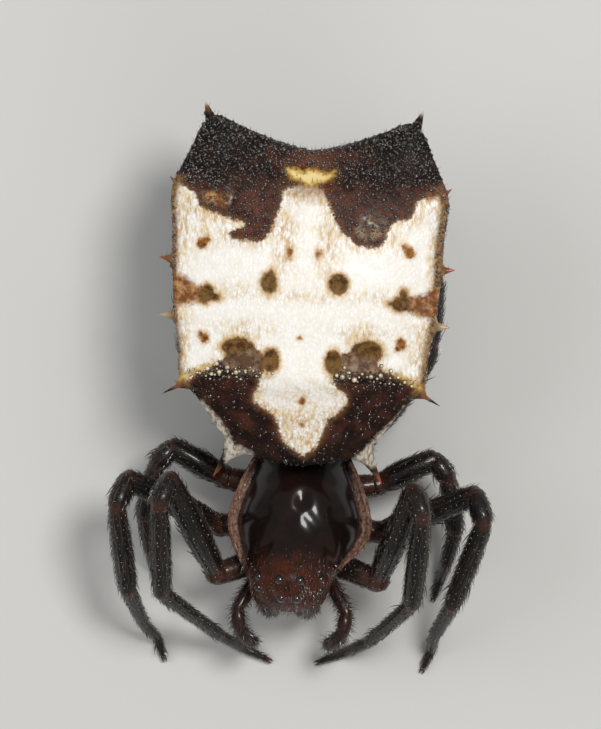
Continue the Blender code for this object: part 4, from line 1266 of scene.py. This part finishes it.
def paintCarapace(x, y, z):
    rows = evenRows(prosoma["stations"], 120)
    order = np.argsort(rows[:, 0])
    half = np.interp(y, rows[order, 0], rows[order, 1])
    rim = np.interp(y, rows[order, 0], rows[order, 3])
    centred = x - headAside(y)
    inner = half - np.abs(centred)
    taper = np.clip(smoothStep(-1.95, -1.35, y) * smoothStep(-0.05, -0.60, y), 0, 1)
    (wide, wider), (place, further) = prosoma["rimWide"], prosoma["rimPlace"]
    band = wide + wider * taper - np.abs(inner - place - further * taper)
    front, rear = prosoma["rimEnds"]
    ends = np.minimum(rear - y, y - front)
    rimBy = np.minimum(np.minimum(band, ends), (z - rim + 0.14) * 2)
    face = smoothStep(1.35, 1.85, -y - 0.30 * np.abs(centred)) * (z > rim - 0.3)
    face = np.maximum(face, 0.5 * smoothStep(rim - 0.10, rim - 0.40, z))
    fx, fy = prosoma["fovea"][:2]
    hollow = np.exp(-((x - fx) ** 2 + (y - fy) ** 2) / 0.02)
    hollow = hollow + 0.5 * np.exp(-(segmentDistance(np.abs(x), y, prosoma["groove"]) / 0.1) ** 2)
    return {"rimBy": rimBy, "face": face, "hollow": np.clip(hollow, 0, 1)}


def paintJoints(points):
    joint = np.zeros(len(points))
    for side in sides.values():
        for number in legs["joints"]:
            places = legJoints(number, side)
            for place, reach in zip(places[1:6], legs["jointReach"]):
                off = np.linalg.norm(points - place, axis=1)
                joint = np.maximum(joint, 1 - smoothStep(0.6 * reach, 1.25 * reach, off))
    return joint


def buildSkin():
    base = shapeAbdomen()
    others = [*shapeSpines(), shapeProsoma(), *shapeLegs(), *shapeMouth(), *shapeWaistAndSilk()]
    skin = fuse(base, others)
    skin.name = skin.data.name = "skin"
    places = placesOf(skin.data)
    painted = {**paintAbdomen(*places.T), **paintCarapace(*places.T), "joint": paintJoints(places)}
    for name, values in painted.items():
        addValues(skin.data, name, np.clip(values, -1, 1))
    print("skin fused:", len(skin.data.polygons), "faces")
    return skin


skin = buildSkin()


# Eyes, fangs and claws

eyes = {
    # place seen from above, and radius
    "pairs": {"middle_rear": ((0.17, -2.00), 0.078), "middle_front": ((0.13, -2.31), 0.075),
              "side_rear": ((0.50, -1.97), 0.060), "side_front": ((0.50, -2.16), 0.060)},
    "sunk": 0.30,
}


def surfaceUnder(x, y, tree):
    place, normal, _, _ = tree.ray_cast(Vector((x, y, 6.0)), Vector((0, 0, -1)))
    return np.array(place), np.array(normal)


def treeOf(made):
    mesh = made.data
    return BVHTree.FromPolygons([v.co.copy() for v in mesh.vertices],
                                [tuple(face.vertices) for face in mesh.polygons])


def buildEyes(tree):
    for name, ((x, y), radius) in eyes["pairs"].items():
        for sideName, side in sides.items():
            place, normal = surfaceUnder(x * side + float(headAside(y)), y, tree)
            centre = place - eyes["sunk"] * radius * normal
            made = ellipsoid(centre, (radius,) * 3, None, detail=(28, 36))
            made.name = "lens_{}_{}".format(name, sideName)
            made.data.materials.append(materials["eye"])
            setPiece(made, ["eye_{}_{}".format(name, sideName)])


def hookPoints(path, radius, around=12, rings=18):
    # a curved, tapering hook
    curve = curvedPath(path, rings)
    _, across, rise = pathFrames(curve)
    wide = radius * (1 - np.linspace(0, 1, rings) ** 1.3) + 0.003
    return curve[:, None] + wide[:, None, None] * ringRound(across, rise, around)


def hookPiece(name, paths, material):
    verts, faces, tips = [], [], []
    total = 0
    for path, radius in paths:
        points = hookPoints(path, radius)
        made, madeFaces = closedGrid(points)
        turn = -1 if signedVolume(made, madeFaces) < 0 else 1
        verts.append(made)
        faces += [[k + total for k in face[::turn]] for face in madeFaces]
        share = np.repeat(np.linspace(0, 1, points.shape[0]), points.shape[1])
        tips.append(np.concatenate([share, [0, 1]]))
        total += len(made)
    piece = makeObject(name, np.concatenate(verts), faces)
    piece.data.materials.append(materials[material])
    addValues(piece.data, "tip", np.concatenate(tips))
    setPiece(piece)


claws = {"length": 0.12, "radius": 0.020, "spread": 0.035}


def buildFangsAndClaws():
    for sideName, side in sides.items():
        path = [mirrored(p, side, prosoma["headAside"]) for p in mouth["fang"]]
        hookPiece("fang_" + sideName, [(path, mouth["fangRadius"])], "horn")
        for number in legs["joints"]:
            j = legJoints(number, side)
            out = unit((j[7] - j[6]) * (1, 1, 0))
            across = np.cross(out, (0, 0, 1))
            paths = []
            for shift, reach in ((-1, 1.0), (1, 1.0), (0, 0.6)):
                start = j[7] + 0.02 * out + shift * 0.5 * claws["spread"] * across
                middle = start + 0.55 * reach * claws["length"] * out + (0, 0, 0.015)
                middle = middle + shift * 0.3 * claws["spread"] * across
                end = start + reach * claws["length"] * out
                end[2] = 0.008
                paths.append(([start, middle, end], claws["radius"] * (0.6 + 0.4 * reach)))
            hookPiece("claws_{}_{}".format(number, sideName), paths, "horn")


skinTree = treeOf(skin)
buildEyes(skinTree)
buildFangsAndClaws()
print("eyes, fangs and claws made")


# Granules and hairs

# cells of the bake map; leg 1 has the one after the number here, on the left and on the right
bakeCells = {"abdomen": 0, "prosoma": 1, "legs": (1, 5), "mouth": 14}
# how wide the patch of one hair or granule is on it
patchWide = 0.003


def atlasPlace(cell, along, around):
    # each part of the skin has a cell of a four by four map, unrolled along and around it
    row, column = divmod(cell, 4)
    return np.stack([(column + 0.04 + 0.90 * np.clip(along, 0, 1)) / 4,
                     (row + 0.04 + 0.90 * np.clip(around, 0, 1)) / 4], -1)


def addBakeMap(mesh, owner, patch, offsets):
    # every small piece has a small patch of its own at its root's place
    layer = mesh.uv_layers.new(name="OFBake")
    loops = np.empty(len(mesh.loops), np.int32)
    mesh.loops.foreach_get("vertex_index", loops)
    uv = patch[owner[loops]] + offsets[loops] * patchWide
    layer.data.foreach_set("uv", uv.astype(np.float32).ravel())


def manyObject(name, verts, faces, tips, owner, patch, offsets, material):
    mesh = bpy.data.meshes.new(name)
    mesh.vertices.add(len(verts))
    mesh.vertices.foreach_set("co", verts.astype(np.float32).ravel())
    mesh.loops.add(faces.size)
    mesh.loops.foreach_set("vertex_index", faces.astype(np.int32).ravel())
    mesh.polygons.add(len(faces))
    mesh.polygons.foreach_set("loop_start", np.arange(0, faces.size, 3, dtype=np.int32))
    mesh.update(calc_edges=True)
    mesh.validate()
    addValues(mesh, "tip", tips)
    addBakeMap(mesh, owner, patch, offsets)
    mesh.materials.append(materials[material])
    print(name, "has", len(faces), "triangles")
    setPiece(linked(name, mesh), sharp=80)


hairShape = {"levels": (-0.06, 0.12, 0.36, 0.66), "taper": (1.0, 1.0, 0.80, 0.50), "bend": 0.55}


def makeHairs(name, roots, normals, leans, lengths, widths, patch, material):
    # curved, tapering bristles: each starts along its own lean and bends over by a share,
    # with four rings of three corners and a tip
    levels, taper = np.array(hairShape["levels"]), np.array(hairShape["taper"])
    count = len(roots)
    start = unit(leans)
    bent = unit(start - hairShape["bend"] * normals)
    run = roots[:, None] + lengths[:, None, None] * (
        levels[None, :, None] * start[:, None] + 0.5 * levels[None, :, None] ** 2 * (bent - start)[:, None])
    tip = roots + lengths[:, None] * (start + 0.5 * (bent - start))
    across = unit(np.cross(start, normals) + 1e-6)
    rise = np.cross(start, across)
    ring = ringRound(across, rise, 3)
    body = run[:, :, None] + (widths[:, None, None, None] * taper[None, :, None, None]) * ring[:, None]
    verts = np.concatenate([body.reshape(count, 12, 3), tip[:, None]], 1)
    template = []
    for level in range(3):
        for k in range(3):
            a, b = level * 3 + k, level * 3 + (k + 1) % 3
            template += [(a, b, b + 3), (a, b + 3, a + 3)]
    template += [(9 + k, 9 + (k + 1) % 3, 12) for k in range(3)] + [(2, 1, 0)]
    template = np.array(template)[:, ::-1]
    faces = (template[None] + 13 * np.arange(count)[:, None, None]).reshape(-1, 3)
    tips = np.tile(np.concatenate([np.repeat(np.clip(levels, 0, 1), 3), [1.0]]), count)
    owner = np.repeat(np.arange(count), 13)
    spot = np.stack([np.tile([0, 0.5, 1], 4), np.repeat([0, 0.3, 0.6, 0.85], 3)], 1)
    spot = np.concatenate([spot, [[0.5, 1.0]]])
    offsets = np.tile(spot - 0.5, (count, 1))
    manyObject(name, verts.reshape(-1, 3), faces, tips, owner, patch, offsets, material)


# domes: how many sides, and how high and how wide each ring is, from the foot up
lowDome = (7, ((-0.35, 1.05), (0.30, 0.95), (0.78, 0.58)))
fullDome = (12, ((-0.35, 1.02), (0.22, 0.98), (0.56, 0.83), (0.86, 0.52)))
tinyDome = (6, ((-0.35, 1.05), (0.55, 0.80)))


def makeGranules(name, roots, normals, radii, heights, patch, material, detail=lowDome):
    # low glossy domes, sunk a little into the skin; their tip values rise to the top, where the material
    # paints a highlight
    count = len(roots)
    around, levels = detail
    deep = len(levels)
    across = unit(np.cross(normals, rng.normal(size=(count, 3))))
    rise = np.cross(normals, across)
    ring = ringRound(across, rise, around)
    rows = [roots[:, None] + (heights * high)[:, None, None] * normals[:, None]
            + (radii * wide)[:, None, None] * ring for high, wide in levels]
    top = roots + heights[:, None] * normals
    foot = roots - 0.5 * heights[:, None] * normals
    rows = np.stack(rows, 1).reshape(count, deep * around, 3)
    verts = np.concatenate([rows, top[:, None], foot[:, None]], 1)
    template = []
    for level in range(deep - 1):
        for k in range(around):
            a, b = level * around + k, level * around + (k + 1) % around
            template += [(a, b, b + around), (a, b + around, a + around)]
    last = (deep - 1) * around
    template += [(last + k, last + (k + 1) % around, deep * around) for k in range(around)]
    template += [((k + 1) % around, k, deep * around + 1) for k in range(around)]
    each = deep * around + 2
    faces = (np.array(template)[None] + each * np.arange(count)[:, None, None]).reshape(-1, 3)
    tips = np.tile(np.concatenate([np.repeat(np.linspace(0.0, 0.85, deep), around), [1.0, 0.0]]), count)
    owner = np.repeat(np.arange(count), each)
    angle = np.tile(np.arange(around) * 2 * math.pi / around, deep)
    reach = np.repeat([0.5 * wide for _, wide in levels], around)
    spot = np.stack([reach * np.cos(angle), reach * np.sin(angle)], 1)
    offsets = np.tile(np.concatenate([spot, [[0, 0], [0, 0]]]), (count, 1))
    manyObject(name, verts.reshape(-1, 3), faces, tips, owner, patch, offsets, material)


def skinTriangles():
    mesh = skin.data
    mesh.calc_loop_triangles()
    count = len(mesh.loop_triangles)
    corners = np.empty(count * 3, np.int32)
    mesh.loop_triangles.foreach_get("vertices", corners)
    slot = np.empty(count, np.int32)
    mesh.loop_triangles.foreach_get("material_index", slot)
    a, b, c = (placesOf(mesh)[corners.reshape(-1, 3)[:, k]] for k in range(3))
    normal = np.cross(b - a, c - a)
    area = np.linalg.norm(normal, axis=1) / 2
    return a, b, c, normal / np.maximum(area * 2, 1e-12)[:, None], area, slot


def scatter(triangles, weight, count, gap):
    # random places on the skin, kept at least a gap apart
    a, b, c, normal, area, _ = triangles
    chance = area * weight
    picked = rng.choice(len(area), size=count, p=chance / chance.sum())
    u, v = rng.random((2, count))
    flip = u + v > 1
    u[flip], v[flip] = 1 - u[flip], 1 - v[flip]
    places = a[picked] + u[:, None] * (b - a)[picked] + v[:, None] * (c - a)[picked]
    near = KDTree(count)
    for k, place in enumerate(places):
        near.insert(place, k)
    near.balance()
    gone = np.zeros(count, bool)
    for k, place in enumerate(places):
        if not gone[k]:
            for _, other, _ in near.find_range(place, gap):
                if other > k:
                    gone[other] = True
    return places[~gone], normal[picked[~gone]]


def abdomenPatch(places):
    along = (places[:, 1] + 0.6) / 6.2
    around = np.arctan2(places[:, 2] - 2.4, places[:, 0] - abdomen["aside"]) / (2 * math.pi) + 0.5
    return atlasPlace(bakeCells["abdomen"], along, around)


def prosomaPatch(places):
    along = (places[:, 1] + 2.7) / 3.2
    around = np.arctan2(places[:, 2] - 1.5, places[:, 0]) / (2 * math.pi) + 0.5
    return atlasPlace(bakeCells["prosoma"], along, around)


granules = {
    "tries": 13000, "gap": 0.027, "radius": (0.010, 0.025), "height": (0.35, 0.95), "belowShare": 0.16,
    "bigTries": 1500, "bigGap": 0.07, "bigRadius": (0.018, 0.042), "bigHeight": 0.8,
    # how many of them the front slopes carry, and how far from the tip of each spine they begin
    "frontShare": 0.08, "bigFrontShare": 0.16, "bareTips": (0.17, 0.10, 0.24, 0.24, 0.22, 0.34),
    "lean": 0.22,
    # glassy beads along the front margin of the shield: place and radius
    "beads": (
        (-1.54, 1.275, 0.045), (-1.478, 1.215, 0.042), (-1.40, 1.36, 0.040), (-1.355, 1.244, 0.045),
        (-1.232, 1.305, 0.048), (-1.097, 1.248, 0.045), (0.467, 1.264, 0.042), (0.553, 1.245, 0.050),
        (0.578, 1.395, 0.036), (0.742, 1.222, 0.055), (0.998, 1.265, 0.042), (1.146, 1.287, 0.045),
        (1.154, 1.444, 0.038), (1.306, 1.373, 0.038), (1.525, 1.215, 0.038), (0.86, 1.30, 0.030),
        (-1.66, 1.22, 0.034), (-0.95, 1.27, 0.030), (1.42, 1.27, 0.032), (1.64, 1.16, 0.034),
        (-1.80, 1.13, 0.034), (0.66, 1.31, 0.030)),
    "crest": 1.25, "crestBow": 0.04, "crestWidth": 0.045, "crestFrom": 0.46, "crestTo": 1.78,
    "beadTries": 260, "beadGap": 0.070, "beadRadius": (0.014, 0.026),
}


def buildGranules(triangles):
    look = granules
    a, b, c, normal, _, slot = triangles
    middle = (a + b + c) / 3
    x, y, z = middle.T
    painted = paintAbdomen(x, y, z)
    dark = (slot == 0) * (painted["paleBy"] < -0.02) * (painted["streakBy"] < -0.02)
    dark = dark * (painted["yellowBy"] < -0.03) * (painted["spotBy"] < 0)
    dark = dark * ~((y > 1.34) & (y < 2.1) & (normal[:, 2] > 0.5))
    for k, reach in enumerate(look["bareTips"]):
        for side in sides.values():
            dark = dark * (np.linalg.norm(middle - spineTip(k, side), axis=1) > reach)
    high = smoothStep(-0.5, 0.3, normal[:, 2])
    front = smoothStep(1.5, 1.0, y)
    dark = dark * (painted["plate"] < 0.1)
    weight = dark * (look["belowShare"] + (1 - look["belowShare"]) * high)
    big = weight * (1 - (1 - look["bigFrontShare"]) * front) * (1 - 0.4 * painted["maroon"])
    weight = weight * (1 - (1 - look["frontShare"]) * front) * (1 - 0.25 * painted["maroon"] * (y > 3))
    # thicker and thinner by patches, and each leaning its own way
    patches = 0.5 + 0.5 * np.sin(5.1 * x + 2.0 * np.sin(3.3 * y)) * np.sin(4.7 * y + 1.7 * np.sin(3.9 * x))
    places, out = scatter(triangles, weight * (0.40 + 0.60 * patches), look["tries"], look["gap"])
    out = unit(out + rng.normal(0, look["lean"], out.shape))
    low, most = look["radius"]
    radii = low + (most - low) * rng.random(len(places)) ** 2
    heights = radii * rng.uniform(*look["height"], len(places))
    makeGranules("granules_fine", places, out, radii, heights, abdomenPatch(places), "granule",
                 tinyDome)
    places, out = scatter(triangles, big, look["bigTries"], look["bigGap"])
    low, most = look["bigRadius"]
    radii = low + (most - low) * rng.random(len(places)) ** 2.4
    makeGranules("granules_large", places, out, radii, look["bigHeight"] * radii, abdomenPatch(places),
                 "granule")
    line = look["crest"] + look["crestBow"] * np.cos(2 * x)
    crest = (slot == 0) * (normal[:, 2] > 0.2) * np.exp(-((y - line) / look["crestWidth"]) ** 2)
    aside = np.abs(x - abdomen["aside"])
    crest = crest * (aside > look["crestFrom"]) * (aside < look["crestTo"])
    places, out = scatter(triangles, crest, look["beadTries"], look["beadGap"])
    radii = rng.uniform(*look["beadRadius"], len(places))
    found = [surfaceUnder(x, y, skinTree) for x, y, _ in look["beads"]]
    places = np.concatenate([places, [place for place, _ in found]])
    out = np.concatenate([out, [normal for _, normal in found]])
    radii = np.concatenate([radii, [radius for _, _, radius in look["beads"]]])
    makeGranules("beads_amber", places, out, radii, radii, abdomenPatch(places), "bead", fullDome)


legCoat = {
    "rows": 11, "gap": 0.072, "spread": (0.75, 1.2), "width": 0.0055, "widthSpread": (0.85, 1.15),
    # how far the roots stray along and around, how much the hairs stand out and how much they differ
    "stray": (0.3, 0.22), "stand": 0.55, "scatter": 0.10,
    "lengths": {"coxa": 0.06, "trochanter": 0.07, "femur": 0.13, "patella": 0.13, "tibia": 0.16,
                "metatarsus": 0.13, "tarsus": 0.10},
    # now and then a bristle that is longer and thicker
    "bigShare": 0.05, "bigTimes": 1.9, "bigWidth": 0.012,
    "knobRows": 9, "knobGap": 0.105, "knobRadius": (0.010, 0.021), "knobHeight": 0.8,
}


def limbPlaces(number, side, cell, rows, gap):
    # rows of places along a leg's segments: segment, root, normal, direction and place on the bake map
    strayAlong, strayAround = legCoat["stray"]
    for name, path in legSegments(number, side):
        run = curvedPath(path, 26)
        steps = max(3, int(np.linalg.norm(np.diff(run, axis=0), axis=1).sum() / gap))
        fine = curvedPath(path, 60)
        along, across, rise = pathFrames(fine)
        places, radii = np.array(legs[name]).T
        for row in range(rows):
            s = (np.arange(steps) + 0.5 + rng.uniform(-strayAlong, strayAlong, steps)) / steps
            angle = (row + rng.uniform(-strayAround, strayAround, steps)) * 2 * math.pi / rows
            at = s * (len(fine) - 1)
            index = np.clip(at.astype(int), 0, len(fine) - 2)
            t = (at - index)[:, None]
            centre = fine[index] * (1 - t) + fine[index + 1] * t
            out = limbFlat * np.cos(angle)[:, None] * across[index] + np.sin(angle)[:, None] * rise[index]
            root = centre + np.interp(s, places, radii)[:, None] * out
            patch = atlasPlace(cell + number, s, np.full(steps, (row + 0.5) / rows))
            yield name, root, unit(out), along[index], patch


def buildLegHairs():
    look = legCoat
    for cell, (sideName, side) in zip(bakeCells["legs"], sides.items()):
        parts = []
        for number in legs["joints"]:
            for name, root, out, along, patch in limbPlaces(number, side, cell, look["rows"], look["gap"]):
                steps = len(root)
                lean = unit(along + look["stand"] * out + rng.normal(0, look["scatter"], (steps, 3)))
                big = rng.random(steps) < look["bigShare"]
                length = look["lengths"][name] * rng.uniform(*look["spread"], steps)
                length = length * np.where(big, look["bigTimes"], 1.0)
                wide = np.where(big, look["bigWidth"], look["width"])
                wide = wide * rng.uniform(*look["widthSpread"], steps)
                parts.append((root, out, lean, length, wide, patch))
        roots, normals, leans, lengths, widths, patch = (np.concatenate(part) for part in zip(*parts))
        above = roots[:, 2] + np.minimum(leans[:, 2], 0) * lengths > 0.004
        makeHairs("hairs_legs_" + sideName, roots[above], normals[above], leans[above], lengths[above],
                  widths[above], patch[above], "bristle")


def buildLegKnobs():
    # small glossy tubercles between the hairs
    look = legCoat
    rows, gap = look["knobRows"], look["knobGap"]
    parts = []
    for cell, side in zip(bakeCells["legs"], sides.values()):
        for number in legs["joints"]:
            for name, root, out, _, patch in limbPlaces(number, side, cell, rows, gap):
                if name != "tarsus":
                    parts.append((root, out, patch))
    roots, normals, patch = (np.concatenate(part) for part in zip(*parts))
    radii = rng.uniform(*look["knobRadius"], len(roots))
    makeGranules("granules_legs", roots, normals, radii, look["knobHeight"] * radii, patch, "granule",
                 tinyDome)


bodyCoat = {
    # how much the hairs stand out, and the way that they lean besides
    "head": {"tries": 2300, "gap": 0.045, "out": 0.8, "way": (0.0, -1.0, 0.0), "length": (0.06, 0.13),
             "width": 0.0045},
    "mouth": {"tries": 8200, "gap": 0.032, "out": 0.9, "way": (0.0, -0.4, -1.0), "length": (0.08, 0.18),
              "width": 0.005},
    "abdomen": {"tries": 5200, "gap": 0.07, "out": 1.0, "way": (0.0, 0.8, -0.3), "length": (0.05, 0.10),
                "width": 0.0042},
    "scatter": 0.25, "palpWay": (0.0, -0.5, -0.3),
    "knobTries": 420, "knobGap": 0.055, "knobRadius": (0.009, 0.020), "knobHeight": 0.9,
}


def growHairs(part, triangles, weight, patchOf, material):
    look = bodyCoat[part]
    places, out = scatter(triangles, weight, look["tries"], look["gap"])
    way = np.array(look["way"])
    if part == "mouth":
        onPalp = (places[:, 1] < -1.9) & (np.abs(places[:, 0] + 0.06) > 0.55)
        way = np.where(onPalp[:, None], bodyCoat["palpWay"], way)
    leans = unit(out * look["out"] + way + rng.normal(0, bodyCoat["scatter"], places.shape))
    lengths = rng.uniform(*look["length"], len(places))
    makeHairs("hairs_" + part, places, out, leans, lengths, np.full(len(places), look["width"]),
              patchOf(places), material)


def mouthPatch(places):
    along, around = (places[:, 0] + 1.2) / 2.4, (places[:, 2] - 0.3) / 1.4
    return atlasPlace(bakeCells["mouth"], along, around)


def buildBodyHairs(triangles):
    look = bodyCoat
    a, b, c, normal, _, slot = triangles
    x, y, z = ((a + b + c) / 3).T
    # pale down on the head and along the rim, and small glossy knobs in it
    painted = paintCarapace(x, y, z)
    face, rim = painted["face"], painted["rimBy"] > 0
    head = (slot == 1) * (0.9 * face * (normal[:, 2] > -0.2) + 1.4 * rim + 0.35 * (z < 1.3))
    growHairs("head", triangles, head, prosomaPatch, "down")
    knobs = (slot == 1) * face * (normal[:, 2] > 0.0) * (z > 1.5)
    places, out = scatter(triangles, knobs, look["knobTries"], look["knobGap"])
    radii = rng.uniform(*look["knobRadius"], len(places))
    makeGranules("granules_head", places, out, radii, look["knobHeight"] * radii, prosomaPatch(places),
                 "granule")
    # darker hairs on jaws, palps, lips and spinnerets
    palps = (slot == 3) * (y < -1.9) * (np.abs(x) > 0.55)
    growHairs("mouth", triangles, (slot == 3) + 1.6 * palps, mouthPatch, "bristle")
    # sparse short bristles over the dark parts of the abdomen
    dark = (slot == 0) * (paintAbdomen(x, y, z)["paleBy"] < -0.03)
    growHairs("abdomen", triangles, dark, abdomenPatch, "bristle")


triangles = skinTriangles()
buildGranules(triangles)
buildLegHairs()
buildLegKnobs()
buildBodyHairs(triangles)
print("granules and hairs made")

skinNodes = ["abdomen", "prosoma", "pedicel", "spinnerets"]
for sideName in sides:
    skinNodes += ["chelicera_" + sideName, "palp_" + sideName]
    skinNodes += ["leg_{}_{}".format(number, sideName) for number in legs["joints"]]
setPiece(skin, skinNodes, sharp=38)
